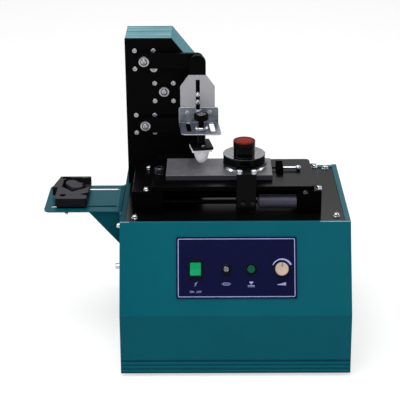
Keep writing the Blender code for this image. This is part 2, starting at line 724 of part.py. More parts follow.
def control_panel():
    """A printed plate on the slope, with a rocker, a fuse, a push button and a speed knob."""
    low = (PANEL_OFFSET - PANEL_WIDTH / 2, -PANEL_TOP - PANEL_HEIGHT)
    high = (PANEL_OFFSET + PANEL_WIDTH / 2, -PANEL_TOP)
    top = GAP + PANEL_THICKNESS
    plate = prism("control_panel", rounded(low, high, [PANEL_CORNER] * 4), "Z", GAP, top, "navy", front_face)
    rocker_hole = block(
        "panel_rocker_hole",
        (ROCKER_X - ROCKER_WIDTH / 2 - OVERRUN / 2, -CONTROL_ROW - ROCKER_HEIGHT / 2 - OVERRUN / 2, -OVERRUN),
        (ROCKER_X + ROCKER_WIDTH / 2 + OVERRUN / 2, -CONTROL_ROW + ROCKER_HEIGHT / 2 + OVERRUN / 2, top + OVERRUN),
        "navy", front_face)
    tools = [rocker_hole]
    holes = [("panel_fuse_hole", FUSE_X, FUSE_NECK_RADIUS), ("panel_button_hole", BUTTON_X, BUTTON_STEM_RADIUS),
             ("panel_speed_hole", SPEED_X, SPEED_SHAFT_RADIUS)]
    for name, x, radius in holes:
        tools.append(rod(name, "Z", (x, -CONTROL_ROW, 0), radius + GAP + GAP, -OVERRUN, top + OVERRUN,
                         "navy", front_face, sides=SMALL))
    cut(plate, *tools)

    bezel_bottom = top + GAP
    bezel = block("rocker_bezel",
                  (ROCKER_X - BEZEL_WIDTH / 2, -CONTROL_ROW - BEZEL_HEIGHT / 2, bezel_bottom),
                  (ROCKER_X + BEZEL_WIDTH / 2, -CONTROL_ROW + BEZEL_HEIGHT / 2, bezel_bottom + BEZEL_DEPTH),
                  "black", front_face, edge=EDGE)
    well = block("bezel_well",
                 (ROCKER_X - ROCKER_WIDTH / 2 - GAP, -CONTROL_ROW - ROCKER_HEIGHT / 2 - GAP, bezel_bottom - OVERRUN),
                 (ROCKER_X + ROCKER_WIDTH / 2 + GAP, -CONTROL_ROW + ROCKER_HEIGHT / 2 + GAP,
                  bezel_bottom + BEZEL_DEPTH + OVERRUN),
                 "black", front_face)
    cut(bezel, well)

    # Seen from the side the rocker is a shallow V, tipped about a pin level with the panel's face
    half = math.sqrt((ROCKER_HEIGHT / 2) ** 2 - ROCKER_RISE ** 2) - GAP
    side_view = [(-half, ROCKER_RISE), (0, ROCKER_RISE - ROCKER_DIP), (half, ROCKER_RISE),
                 (half / 2, -ROCKER_BODY_DEPTH), (-half / 2, -ROCKER_BODY_DEPTH)]
    rocker = prism("rocker_switch", side_view, "X", GAP - ROCKER_WIDTH / 2, ROCKER_WIDTH / 2 - GAP, "green",
                   front_face)
    rocker.location = (ROCKER_X, -CONTROL_ROW, bezel_bottom)
    rocker.rotation_euler = (-ROCKER_TILT, 0, 0)

    seat = top + GAP
    cap = turned("fuse_cap",
                 [(0, -FUSE_BODY_DEPTH), (FUSE_NECK_RADIUS, -FUSE_BODY_DEPTH), (FUSE_NECK_RADIUS, seat),
                  (FUSE_RADIUS, seat), (FUSE_RADIUS, seat + FUSE_RISE / 2),
                  (FUSE_RADIUS - EDGE, seat + FUSE_RISE / 2 + EDGE), (FUSE_NECK_RADIUS, seat + FUSE_RISE / 2 + EDGE),
                  (FUSE_NECK_RADIUS, seat + FUSE_RISE), (0, seat + FUSE_RISE)],
                 "Z", (FUSE_X, -CONTROL_ROW, 0), "black", front_face, sides=SMALL)
    slot = block("fuse_slot", (FUSE_X - FUSE_NECK_RADIUS - OVERRUN, -CONTROL_ROW - FUSE_SLOT / 2, seat + FUSE_RISE - FUSE_SLOT),
                 (FUSE_X + FUSE_NECK_RADIUS + OVERRUN, -CONTROL_ROW + FUSE_SLOT / 2, seat + FUSE_RISE + OVERRUN),
                 "black", front_face)
    cut(cap, slot)

    lifted = seat + BUTTON_TRAVEL
    turned("print_button",
           [(0, -BUTTON_STEM_DEPTH), (BUTTON_STEM_RADIUS, -BUTTON_STEM_DEPTH), (BUTTON_STEM_RADIUS, lifted),
            (BUTTON_RADIUS, lifted), (BUTTON_RADIUS, seat + BUTTON_RISE - EDGE),
            (BUTTON_RADIUS - EDGE, seat + BUTTON_RISE), (0, seat + BUTTON_RISE)],
           "Z", (BUTTON_X, -CONTROL_ROW, 0), "green", front_face, sides=SMALL)

    knob = turned("speed_knob",
                  [(0, -SPEED_SHAFT_DEPTH), (SPEED_SHAFT_RADIUS, -SPEED_SHAFT_DEPTH), (SPEED_SHAFT_RADIUS, seat),
                   (SPEED_SKIRT_RADIUS, seat), (SPEED_SKIRT_RADIUS, seat + SPEED_SKIRT_HEIGHT),
                   (SPEED_RADIUS, seat + SPEED_SKIRT_HEIGHT), (SPEED_RADIUS - EDGE, seat + SPEED_RISE - EDGE),
                   (SPEED_RADIUS - EDGE - EDGE, seat + SPEED_RISE), (0, seat + SPEED_RISE)],
                  "Z", (SPEED_X, -CONTROL_ROW, 0), "ivory", front_face)
    mark = block("speed_mark", (SPEED_X - SPEED_MARK / 2, -CONTROL_ROW + SPEED_RADIUS / 4, seat + SPEED_RISE - SPEED_MARK / 2),
                 (SPEED_X + SPEED_MARK / 2, -CONTROL_ROW + SPEED_RADIUS + OVERRUN, seat + SPEED_RISE + OVERRUN),
                 "ivory", front_face)
    cut(knob, mark)


def electrics():
    """The mains inlet in the back, and the supply and the board on the tray."""
    back_outer = DECK_DEPTH - BACK_RECESS
    face = back_outer + GAP + INLET_FLANGE
    inlet = block("power_inlet", (INLET_X - INLET_WIDTH / 2, back_outer + GAP, INLET_Z - INLET_HEIGHT / 2),
                  (INLET_X + INLET_WIDTH / 2, face, INLET_Z + INLET_HEIGHT / 2), "black", machine)
    body = block("inlet_body", (INLET_X - INLET_BODY_WIDTH / 2, face - INLET_BODY_DEPTH, INLET_Z - INLET_BODY_HEIGHT / 2),
                 (INLET_X + INLET_BODY_WIDTH / 2, back_outer + GAP + INLET_FLANGE / 2, INLET_Z + INLET_BODY_HEIGHT / 2),
                 "black", machine)
    socket = block("inlet_socket",
                   (INLET_X - INLET_SOCKET_WIDTH / 2, face - INLET_SOCKET_DEPTH, INLET_Z - INLET_SOCKET_HEIGHT / 2),
                   (INLET_X + INLET_SOCKET_WIDTH / 2, face + OVERRUN, INLET_Z + INLET_SOCKET_HEIGHT / 2),
                   "black", machine)
    add(inlet, body)
    cut(inlet, socket)
    pins = []
    for i, (step, rise) in enumerate(((-1, -0.5), (0, 0.5), (1, -0.5))):
        x = INLET_X + step * INLET_PIN_PITCH
        z = INLET_Z + rise * INLET_PIN_HEIGHT
        pins.append(block("inlet_pin_%d" % i,
                          (x - INLET_PIN_WIDTH / 2, face - INLET_SOCKET_DEPTH - OVERRUN, z - INLET_PIN_HEIGHT / 2),
                          (x + INLET_PIN_WIDTH / 2, face - INLET_SOCKET_DEPTH + INLET_PIN_LENGTH, z + INLET_PIN_HEIGHT / 2),
                          "zinc", machine))
    add(inlet, *pins)

    floor = TRAY_TOP + GAP
    block("power_supply", (CABINET_LEFT + SUPPLY_INSET, SUPPLY_Y - SUPPLY_DEPTH / 2, floor),
          (SUPPLY_RIGHT, SUPPLY_Y + SUPPLY_DEPTH / 2, floor + SUPPLY_HEIGHT), "zinc", machine, edge=EDGE)

    width, depth, thickness = BOARD_SIZE
    lift = floor + BOARD_POST_HEIGHT
    board = block("control_board", (BOARD_X - width / 2, BOARD_Y - depth / 2, lift),
                  (BOARD_X + width / 2, BOARD_Y + depth / 2, lift + thickness), "board", machine)
    parts = []
    for i, (sx, sy) in enumerate(((-1, -1), (1, -1), (1, 1), (-1, 1))):
        x = BOARD_X + sx * (width / 2 - BOARD_POST_INSET)
        y = BOARD_Y + sy * (depth / 2 - BOARD_POST_INSET)
        parts.append(rod("board_post_%d" % i, "Z", (x, y, floor), BOARD_POST_RADIUS, 0,
                         BOARD_POST_HEIGHT + thickness / 2, "board", machine, sides=SMALL))
    for i, share in enumerate((-1 / 4, 0, 1 / 4)):
        x = BOARD_X + share * width
        parts.append(block("board_part_%d" % i, (x - width / 12, BOARD_Y - depth / 6, lift + thickness / 2),
                           (x + width / 12, BOARD_Y + depth / 6, lift + thickness + BOARD_BLOCK_HEIGHT),
                           "board", machine))
    add(board, *parts)


def column_line():
    """The column's outer line in X and Z, up its right side and down its left, which stands on the flange."""
    return [(COLUMN_RIGHT, DECK_TOP + GAP), (COLUMN_RIGHT, COLUMN_HEIGHT - CHAMFER_HEIGHT),
            (COLUMN_RIGHT - CHAMFER_WIDTH, COLUMN_HEIGHT), (COLUMN_LEFT, COLUMN_HEIGHT), (COLUMN_LEFT, GAP)]


def column_outline():
    """The column's full outline, stepped round the flange of the cabinet's left side."""
    step = CABINET_LEFT + SIDE_FLANGE + GAP
    return [*column_line(), (step, GAP), (step, DECK_TOP + GAP)]


def bearing_places():
    """The three shafts in the column plate, as (x, z)."""
    return {
        "upper": (PIVOT_X, UPPER_PIVOT_HEIGHT),
        "middle": (DRIVE_X, DRIVE_HEIGHT),
        "lower": (PIVOT_X, LOWER_PIVOT_HEIGHT),
    }


def column():
    """A thick black plate faces the operator, and a folded shroud and a cover close its back."""
    plate = prism("column_plate", column_outline(), "Y", COLUMN_FRONT, COLUMN_PLATE_BACK, "black", machine)
    for name, (x, z) in bearing_places().items():
        cut(plate, rod(name + "_plate_bore", "Y", (x, 0, z), BEARING_BOSS_RADIUS + GAP,
                       COLUMN_FRONT - OVERRUN, COLUMN_PLATE_BACK + OVERRUN, "black", machine))
        flange = prism(name + "_bearing",
                       rounded((x - BEARING_FLANGE / 2, z - BEARING_FLANGE / 2),
                               (x + BEARING_FLANGE / 2, z + BEARING_FLANGE / 2), [BEARING_CORNER] * 4),
                       "Y", COLUMN_PLATE_BACK + GAP, BEARING_BACK, "black", machine)
        add(flange, rod(name + "_boss", "Y", (x, 0, z), BEARING_BOSS_RADIUS, COLUMN_FRONT,
                        COLUMN_PLATE_BACK + GAP + BEARING_DEPTH / 2, "black", machine))
        cut(flange, rod(name + "_bore", "Y", (x, 0, z), SHAFT_RADIUS + FIT,
                        COLUMN_FRONT - OVERRUN, BEARING_BACK + OVERRUN, "black", machine, sides=SMALL))

    shroud = folded(column_line(), SHEET)
    prism("column_shroud", shroud, "Y", COLUMN_PLATE_BACK + GAP, COLUMN_BACK, "teal", machine)
    prism("column_back_cover", column_outline(), "Y", COLUMN_BACK + GAP, COLUMN_BACK + GAP + SHEET, "teal", machine)


def gear_outline(teeth, phase, centre):
    """A gear's outline in X and Z with straight-sided teeth, one of them at the phase angle."""
    radius = GEAR_MODULE * teeth / 2
    pitch = 2 * math.pi / teeth
    tip = radius + ADDENDUM_SHARE * GEAR_MODULE
    root = radius - DEDENDUM_SHARE * GEAR_MODULE
    points = []
    for i in range(teeth):
        middle = phase + i * pitch
        for reach, share in ((root, -TOOTH_FOOT_SHARE), (tip, -TOOTH_TIP_SHARE),
                             (tip, TOOTH_TIP_SHARE), (root, TOOTH_FOOT_SHARE)):
            angle = middle + share * pitch
            points.append((centre[0] + reach * math.cos(angle), centre[1] + reach * math.sin(angle)))
    return points


def gears():
    """Each shaft is one piece with its gear and the head of its bolt."""
    drive_centre = (DRIVE_X, DRIVE_HEIGHT)
    drive = prism("drive_gear", gear_outline(DRIVE_GEAR_TEETH, 0, drive_centre), "Y", GEAR_FRONT, GEAR_BACK,
                  "dark_steel", machine, origin=(DRIVE_X, GEAR_FRONT, DRIVE_HEIGHT))
    head = COLUMN_FRONT - FLUSH_HEAD_HEIGHT - GAP
    shaft = turned("drive_shaft_tool",
                   [(0, head), (BOLT_HEAD_RADIUS, head), (BOLT_HEAD_RADIUS, COLUMN_FRONT - GAP),
                    (SHAFT_RADIUS, COLUMN_FRONT - GAP), (SHAFT_RADIUS, MOTOR_FRONT + COUPLING_DEPTH - RUNNING_GAP),
                    (0, MOTOR_FRONT + COUPLING_DEPTH - RUNNING_GAP)],
                   "Y", (DRIVE_X, 0, DRIVE_HEIGHT), "steel", machine, sides=SMALL)
    add(drive, shaft)
    for name, height in (("upper", UPPER_PIVOT_HEIGHT), ("lower", LOWER_PIVOT_HEIGHT)):
        way = math.atan2(height - DRIVE_HEIGHT, PIVOT_X - DRIVE_X)
        facing = way + math.pi + way * DRIVE_GEAR_TEETH / ARM_GEAR_TEETH
        phase = facing + math.pi / ARM_GEAR_TEETH
        gear = prism(name + "_arm_gear", gear_outline(ARM_GEAR_TEETH, phase, (PIVOT_X, height)), "Y",
                     GEAR_FRONT, GEAR_BACK, "dark_steel", machine, origin=(PIVOT_X, GEAR_FRONT, height))
        front = ARM_FRONT - GAP
        shaft = turned(name + "_shaft_tool",
                       [(0, front - BOLT_HEAD_HEIGHT), (BOLT_HEAD_RADIUS, front - BOLT_HEAD_HEIGHT),
                        (BOLT_HEAD_RADIUS, front), (SHAFT_RADIUS, front), (SHAFT_RADIUS, GEAR_BACK + SHAFT_TAIL),
                        (0, GEAR_BACK + SHAFT_TAIL)],
                       "Y", (PIVOT_X, 0, height), "steel", machine, sides=SMALL)
        add(gear, shaft)


def swing_motor():
    """A plate on three posts holds the geared motor behind the drive gear."""
    posts = {
        "post_top": (DRIVE_X + MOTOR_POST_SIDE, DRIVE_HEIGHT + MOTOR_POST_RISE),
        "post_bottom": (DRIVE_X + MOTOR_POST_SIDE, DRIVE_HEIGHT - MOTOR_POST_RISE),
        "post_left": (DRIVE_X - MOTOR_POST_REACH, DRIVE_HEIGHT),
    }
    low = (DRIVE_X - MOTOR_POST_REACH - MOTOR_PLATE_MARGIN, DRIVE_HEIGHT - MOTOR_POST_RISE - MOTOR_PLATE_MARGIN)
    high = (DRIVE_X + MOTOR_POST_SIDE + MOTOR_PLATE_MARGIN, DRIVE_HEIGHT + MOTOR_POST_RISE + MOTOR_PLATE_MARGIN)
    plate = prism("motor_mount", rounded(low, high, [BEARING_CORNER] * 4), "Y", MOTOR_PLATE_FRONT,
                  MOTOR_PLATE_FRONT + MOTOR_PLATE, "zinc", machine)
    for name, (x, z) in posts.items():
        add(plate, rod(name, "Y", (x, 0, z), MOTOR_POST_RADIUS, COLUMN_PLATE_BACK + GAP,
                       MOTOR_PLATE_FRONT + MOTOR_PLATE / 2, "zinc", machine, sides=SMALL))
    cut(plate, rod("motor_plate_hole", "Y", (DRIVE_X, 0, DRIVE_HEIGHT), SHAFT_RADIUS + RUNNING_GAP,
                   MOTOR_PLATE_FRONT - OVERRUN, MOTOR_PLATE_FRONT + MOTOR_PLATE + OVERRUN, "zinc", machine, sides=SMALL))

    half = GEARBOX_SIDE / 2
    gearbox = block("swing_motor", (DRIVE_X - half, MOTOR_FRONT, DRIVE_HEIGHT - half),
                    (DRIVE_X + half, MOTOR_FRONT + GEARBOX_DEPTH, DRIVE_HEIGHT + half), "dark_steel", machine,
                    edge=SOFT_EDGE)
    add(gearbox, rod("motor_can", "Y", (DRIVE_X, 0, DRIVE_HEIGHT), MOTOR_RADIUS, MOTOR_FRONT + GEARBOX_DEPTH / 2,
                     MOTOR_FRONT + GEARBOX_DEPTH + MOTOR_DEPTH, "dark_steel", machine))
    cut(gearbox, rod("coupling_bore", "Y", (DRIVE_X, 0, DRIVE_HEIGHT), SHAFT_RADIUS + GAP, MOTOR_FRONT - OVERRUN,
                     MOTOR_FRONT + COUPLING_DEPTH, "dark_steel", machine, sides=SMALL))


def arms():
    """Two black cranks, each on its shaft, with a collar and a pin for the head bar at the end."""
    half = ARM_WIDTH / 2
    end = HEAD_X + ARM_TAIL
    for name, height in (("upper_arm", UPPER_PIVOT_HEIGHT), ("lower_arm", LOWER_PIVOT_HEIGHT)):
        corner = ARM_TAIL
        outline = arc((PIVOT_X, height), half, math.pi / 2, 3 * math.pi / 2, 2 * ARC)
        outline += arc((end - corner, height - half + corner), corner, -math.pi / 2, 0)
        outline += arc((end - corner, height + half - corner), corner, 0, math.pi / 2)
        arm = prism(name, outline, "Y", ARM_FRONT, ARM_BACK, "black", machine, origin=(PIVOT_X, ARM_BACK, height))
        pin = turned(name + "_pin",
                     [(0, HEAD_BAR_FRONT + GAP), (PIN_RADIUS, HEAD_BAR_FRONT + GAP), (PIN_RADIUS, HEAD_BAR_BACK + GAP),
                      (ARM_COLLAR_RADIUS, HEAD_BAR_BACK + GAP), (ARM_COLLAR_RADIUS, ARM_FRONT + ARM_THICKNESS / 2),
                      (0, ARM_FRONT + ARM_THICKNESS / 2)],
                     "Y", (HEAD_X, 0, height), "steel", machine, sides=SMALL)
        add(arm, pin)
        cut(arm, rod(name + "_bore", "Y", (PIVOT_X, 0, height), SHAFT_RADIUS + GAP, ARM_FRONT - OVERRUN,
                     ARM_BACK + OVERRUN, "black", machine, sides=SMALL))


def head():
    """The bar that joins both arms, the slotted plate on it, and the bracket that holds the pad."""
    half = HEAD_BAR_WIDTH / 2
    outline = arc((HEAD_X, UPPER_PIVOT_HEIGHT), half, 0, math.pi, 2 * ARC)
    outline += arc((HEAD_X, LOWER_PIVOT_HEIGHT), half, math.pi, 2 * math.pi, 2 * ARC)
    pivot = (HEAD_X, HEAD_BAR_FRONT, UPPER_PIVOT_HEIGHT)
    bar = prism("head_bar", outline, "Y", HEAD_BAR_FRONT, HEAD_BAR_BACK, "black", machine, origin=pivot)
    # The lower eye has the free play that lets the closed linkage stand as an open chain
    for name, height, play in (("upper_eye", UPPER_PIVOT_HEIGHT, FIT), ("lower_eye", LOWER_PIVOT_HEIGHT, GAP)):
        cut(bar, rod(name, "Y", (HEAD_X, 0, height), PIN_RADIUS + play, HEAD_BAR_FRONT - OVERRUN,
                     HEAD_BAR_BACK + OVERRUN, "black", machine, sides=SMALL))

    bottom = BRACKET_SHELF_TOP
    shoulder = SLOTTED_TOP - SLOTTED_CHAMFER_HEIGHT
    left, right = HEAD_X - SLOTTED_WIDTH / 2, HEAD_X + SLOTTED_WIDTH / 2
    outline = [(left, bottom), (right, bottom), (right, shoulder), (HEAD_X + SLOTTED_TOP_WIDTH / 2, SLOTTED_TOP),
               (HEAD_X - SLOTTED_TOP_WIDTH / 2, SLOTTED_TOP), (left, shoulder)]
    plate = prism("slotted_plate", outline, "Y", SLOTTED_FRONT, HEAD_BAR_FRONT - GAP, "zinc", machine,
                  origin=(HEAD_X, HEAD_BAR_FRONT, UPPER_PIVOT_HEIGHT))
    ends = ((HEAD_X, SLOT_BOTTOM + SLOT_WIDTH / 2), (HEAD_X, SLOT_TOP - SLOT_WIDTH / 2))
    cut(plate, prism("height_slot", slot_outline(*ends, SLOT_WIDTH), "Y", SLOTTED_FRONT - OVERRUN,
                     HEAD_BAR_FRONT + OVERRUN, "zinc", machine))

    # The bracket is an angle: an upright lip against the plate, and a shelf that leans to the right
    shelf_x = HEAD_X + BRACKET_BACK_SHIFT
    half = BRACKET_WIDTH / 2
    reach = BRACKET_BACK - BRACKET_REACH
    shelf_bottom = BRACKET_SHELF_TOP - BRACKET_THICKNESS
    outline = [(shelf_x - half, BRACKET_BACK), (shelf_x - half + BRACKET_SKEW, reach),
               (shelf_x + half + BRACKET_SKEW, reach), (shelf_x + half, BRACKET_BACK)]
    shelf = prism("pad_bracket", outline, "Z", shelf_bottom, BRACKET_SHELF_TOP, "zinc", machine,
                  origin=(HEAD_X, HEAD_BAR_FRONT, UPPER_PIVOT_HEIGHT))
    lip = block("bracket_lip", (shelf_x - half, BRACKET_BACK - BRACKET_THICKNESS, shelf_bottom),
                (shelf_x + half, BRACKET_BACK, BRACKET_SHELF_TOP + BRACKET_LIP), "zinc", machine)
    add(shelf, lip)
    for i, side in enumerate((-1, 1)):
        back_y = BRACKET_BACK - BRACKET_SLOT_BACK
        front_y = back_y - BRACKET_SLOT_LENGTH + BRACKET_SLOT_WIDTH
        lean = BRACKET_SKEW / BRACKET_REACH
        ends = ((shelf_x + side * BRACKET_SLOT_SIDE + lean * (BRACKET_BACK - back_y), back_y),
                (shelf_x + side * BRACKET_SLOT_SIDE + lean * (BRACKET_BACK - front_y), front_y))
        cut(shelf, prism("bracket_slot_%d" % i, slot_outline(*ends, BRACKET_SLOT_WIDTH), "Z",
                         shelf_bottom - OVERRUN, BRACKET_SHELF_TOP + OVERRUN, "zinc", machine))
    cut(shelf, rod("stem_hole", "Z", (PAD_X, PAD_Y, 0), STEM_THREAD_RADIUS + GAP, shelf_bottom - OVERRUN,
                   BRACKET_SHELF_TOP + OVERRUN, "zinc", machine, sides=SMALL))


def pad():
    """The clamp knob and the stem hold a plate, and the silicone pad hangs under it."""
    centre = (PAD_X, PAD_Y, 0)
    shelf_bottom = BRACKET_SHELF_TOP - BRACKET_THICKNESS
    nut = BRACKET_SHELF_TOP + GAP
    turned("pad_stem",
           [(0, HOLDER_TOP + GAP), (STEM_RADIUS, HOLDER_TOP + GAP), (STEM_RADIUS, shelf_bottom - GAP),
            (STEM_THREAD_RADIUS, shelf_bottom - GAP), (STEM_THREAD_RADIUS, nut), (NUT_RADIUS, nut),
            (NUT_RADIUS, nut + NUT_HEIGHT), (STEM_THREAD_RADIUS, nut + NUT_HEIGHT),
            (STEM_THREAD_RADIUS, STEM_TOP), (0, STEM_TOP)],
           "Z", centre, "dark_steel", machine, origin=(PAD_X, PAD_Y, BRACKET_SHELF_TOP), sides=SMALL)
    knob = STEM_TOP + GAP
    turned("pad_knob",
           [(0, knob), (PAD_KNOB_RADIUS - EDGE, knob), (PAD_KNOB_RADIUS, knob + EDGE),
            (PAD_KNOB_RADIUS, knob + PAD_KNOB_HEIGHT - SOFT_EDGE),
            (PAD_KNOB_RADIUS - SOFT_EDGE, knob + PAD_KNOB_HEIGHT), (0, knob + PAD_KNOB_HEIGHT)],
           "Z", centre, "black", machine, origin=(PAD_X, PAD_Y, knob))

    holder = block("pad_holder", (-HOLDER_WIDTH / 2, HOLDER_SETBACK - HOLDER_DEPTH / 2, 0),
                   (HOLDER_WIDTH / 2, HOLDER_SETBACK + HOLDER_DEPTH / 2, HOLDER_HEIGHT),
                   "black", machine, origin=(0, 0, 0), edge=EDGE)
    holder.location = (PAD_X, PAD_Y, HOLDER_BOTTOM)
    holder.rotation_euler = (0, 0, HOLDER_TURN)

    # The pad's dome is a half ellipse turned about the stem, under a square base of its own
    steps = 2 * ARC
    profile = []
    for i in range(steps + 1):
        angle = math.pi / 2 * i / steps
        profile.append((PAD_RADIUS * math.sin(angle), PAD_DOME_HEIGHT - PAD_DOME_HEIGHT * math.cos(angle)))
    profile.append((PAD_RADIUS, PAD_DOME_HEIGHT + PAD_BASE_HEIGHT / 2))
    profile.append((0, PAD_DOME_HEIGHT + PAD_BASE_HEIGHT / 2))
    dome = turned("pad_dome", profile, "Z", (0, 0, 0), "silicone", machine, origin=(0, 0, 0))
    base = block("pad", (-PAD_BASE_SIDE / 2, -PAD_BASE_SIDE / 2, PAD_DOME_HEIGHT),
                 (PAD_BASE_SIDE / 2, PAD_BASE_SIDE / 2, PAD_DOME_HEIGHT + PAD_BASE_HEIGHT), "silicone", machine,
                 origin=(0, 0, 0))
    for piece in (dome, base):
        piece.location = (PAD_X, PAD_Y, PAD_TIP)
        piece.rotation_euler = (0, 0, HOLDER_TURN)
    add(base, dome)


def bed():
    """Two end blocks carry the platform, with the etched plate, its stop and its clamps on top."""
    low, high = DECK_TOP + GAP, BLOCK_TOP
    left = block("left_bed_block", (BED_LEFT, BED_FRONT, low), (LEFT_BLOCK_RIGHT, BED_BACK, high), "black", machine,
                 edge=EDGE)
    right = block("right_bed_block", (RIGHT_BLOCK_LEFT, BED_FRONT, low), (BED_RIGHT, BED_BACK, high), "black",
                  machine, edge=EDGE)
    cut(left, rod("screw_seat", "X", (0, SCREW_Y, SCREW_HEIGHT), SCREW_RADIUS + GAP, LEFT_BLOCK_RIGHT - SCREW_SEAT,
                  LEFT_BLOCK_RIGHT + OVERRUN, "black", machine, sides=SMALL))
    cut(left, rod("guide_seat_left", "X", (0, GUIDE_Y, SCREW_HEIGHT), GUIDE_RADIUS + GAP, LEFT_BLOCK_RIGHT - GUIDE_SEAT,
                  LEFT_BLOCK_RIGHT + OVERRUN, "black", machine, sides=SMALL))
    cut(right, rod("guide_seat_right", "X", (0, GUIDE_Y, SCREW_HEIGHT), GUIDE_RADIUS + GAP, RIGHT_BLOCK_LEFT - OVERRUN,
                   RIGHT_BLOCK_LEFT + GUIDE_SEAT, "black", machine, sides=SMALL))

    outline = rounded((PLATFORM_LEFT, BED_FRONT - EDGE), (PLATFORM_RIGHT, BED_BACK),
                      [PLATFORM_CORNER / 2, PLATFORM_CORNER, PLATFORM_CORNER, PLATFORM_CORNER / 2])
    platform = prism("bed_platform", outline, "Z", PLATFORM_BOTTOM, PLATFORM_TOP, "black", machine)
    bevel(platform, EDGE)

    seat = PLATFORM_TOP + GAP
    block("steel_plate", (PLATE_LEFT, PLATE_FRONT, seat), (PLATE_LEFT + PLATE_LENGTH, PLATE_FRONT + PLATE_WIDTH, PLATE_TOP),
          "dark_steel", machine, edge=EDGE)
    stop_front = PLATE_FRONT + PLATE_WIDTH + GAP
    block("rear_plate_stop", (STOP_LEFT, stop_front, seat), (STOP_LEFT + STOP_LENGTH, stop_front + STOP_WIDTH, seat + STOP_HEIGHT),
          "black", machine, edge=EDGE)

    clamp_left = PLATE_LEFT + PLATE_LENGTH + CLAMP_STANDOFF
    clamp_back = CLAMP_SCREW_Y + CLAMP_DEPTH / 2
    clamp = block("clamp_block", (clamp_left, CLAMP_SCREW_Y - CLAMP_DEPTH / 2, seat),
                  (clamp_left + CLAMP_WIDTH, clamp_back, seat + CLAMP_HEIGHT), "black", machine, edge=EDGE)
    screw_height = seat + CLAMP_HEIGHT / 2
    cut(clamp, rod("clamp_bore", "X", (0, CLAMP_SCREW_Y, screw_height), CLAMP_SCREW_RADIUS + GAP,
                   clamp_left - OVERRUN, clamp_left + CLAMP_WIDTH + OVERRUN, "black", machine, sides=SMALL))
    tip = PLATE_LEFT + PLATE_LENGTH + GAP
    grip = clamp_left + CLAMP_WIDTH + CLAMP_GRIP_REACH
    profile = [(0, tip), (CLAMP_SCREW_RADIUS, tip), (CLAMP_SCREW_RADIUS, grip - CLAMP_GRIP_RADIUS)]
    for i in range(1, ARC):
        angle = math.pi * i / ARC
        reach = CLAMP_GRIP_RADIUS * math.sin(angle)
        if reach > CLAMP_SCREW_RADIUS:
            profile.append((reach, grip - CLAMP_GRIP_RADIUS * math.cos(angle)))
    profile.append((0, grip + CLAMP_GRIP_RADIUS))
    turned("clamp_screw", profile, "X", (0, CLAMP_SCREW_Y, screw_height), "zinc", machine,
           origin=(tip, CLAMP_SCREW_Y, screw_height), sides=SMALL)

    turned("plate_knob",
           [(0, 0), (PLATE_KNOB_RADIUS, 0), (PLATE_KNOB_RADIUS, PLATE_KNOB_HEIGHT - SOFT_EDGE),
            (PLATE_KNOB_RADIUS - SOFT_EDGE, PLATE_KNOB_HEIGHT), (0, PLATE_KNOB_HEIGHT)],
           "Z", (PLATE_KNOB_X, PLATE_KNOB_Y, seat), "black", machine)


def cup_drive():
    """A geared motor turns a lead screw under the platform, beside a ground guide shaft."""
    axis = (0, SCREW_Y, SCREW_HEIGHT)
    motor_right = RIGHT_BLOCK_LEFT - GAP
    motor_left = motor_right - CUP_MOTOR_LENGTH
    motor = turned("cup_motor",
                   [(0, motor_left), (CUP_MOTOR_BOSS_RADIUS, motor_left), (CUP_MOTOR_BOSS_RADIUS, motor_left + CUP_MOTOR_BOSS),
                    (CUP_MOTOR_RADIUS, motor_left + CUP_MOTOR_BOSS), (CUP_MOTOR_RADIUS, motor_right), (0, motor_right)],
                   "X", axis, "dark_steel", machine)
    cut(motor, rod("motor_mouth", "X", axis, SCREW_RADIUS + GAP, motor_left - OVERRUN, motor_left + SCREW_SEAT,
                   "dark_steel", machine, sides=SMALL))
    rod("lead_screw", "X", axis, SCREW_RADIUS, LEFT_BLOCK_RIGHT - SCREW_SEAT + GAP, motor_left + SCREW_SEAT - GAP,
        "dark_steel", machine, origin=(LEFT_BLOCK_RIGHT, SCREW_Y, SCREW_HEIGHT), sides=SMALL)
    rod("guide_shaft", "X", (0, GUIDE_Y, SCREW_HEIGHT), GUIDE_RADIUS, LEFT_BLOCK_RIGHT - GUIDE_SEAT + GAP,
        RIGHT_BLOCK_LEFT + GUIDE_SEAT - GAP, "steel", machine)

    left, right = CUP_BRACKET_X - CUP_BRACKET_WIDTH / 2, CUP_BRACKET_X + CUP_BRACKET_WIDTH / 2
    front = CUP_BRACKET_BACK + GAP
    origin = (CUP_BRACKET_X, SCREW_Y, SCREW_HEIGHT)
    carriage = block("cup_carriage", (left, front, SCREW_HEIGHT - CARRIAGE_HEIGHT / 2),
                     (right, CARRIAGE_BACK, SCREW_HEIGHT + CARRIAGE_HEIGHT / 2), "black", machine,
                     origin=origin, edge=EDGE)
    cut(carriage,
        rod("nut_bore", "X", axis, SCREW_RADIUS + FIT, left - OVERRUN, right + OVERRUN, "black",
            machine, sides=SMALL),
        rod("guide_bore", "X", (0, GUIDE_Y, SCREW_HEIGHT), GUIDE_RADIUS + FIT, left - OVERRUN,
            right + OVERRUN, "black", machine))


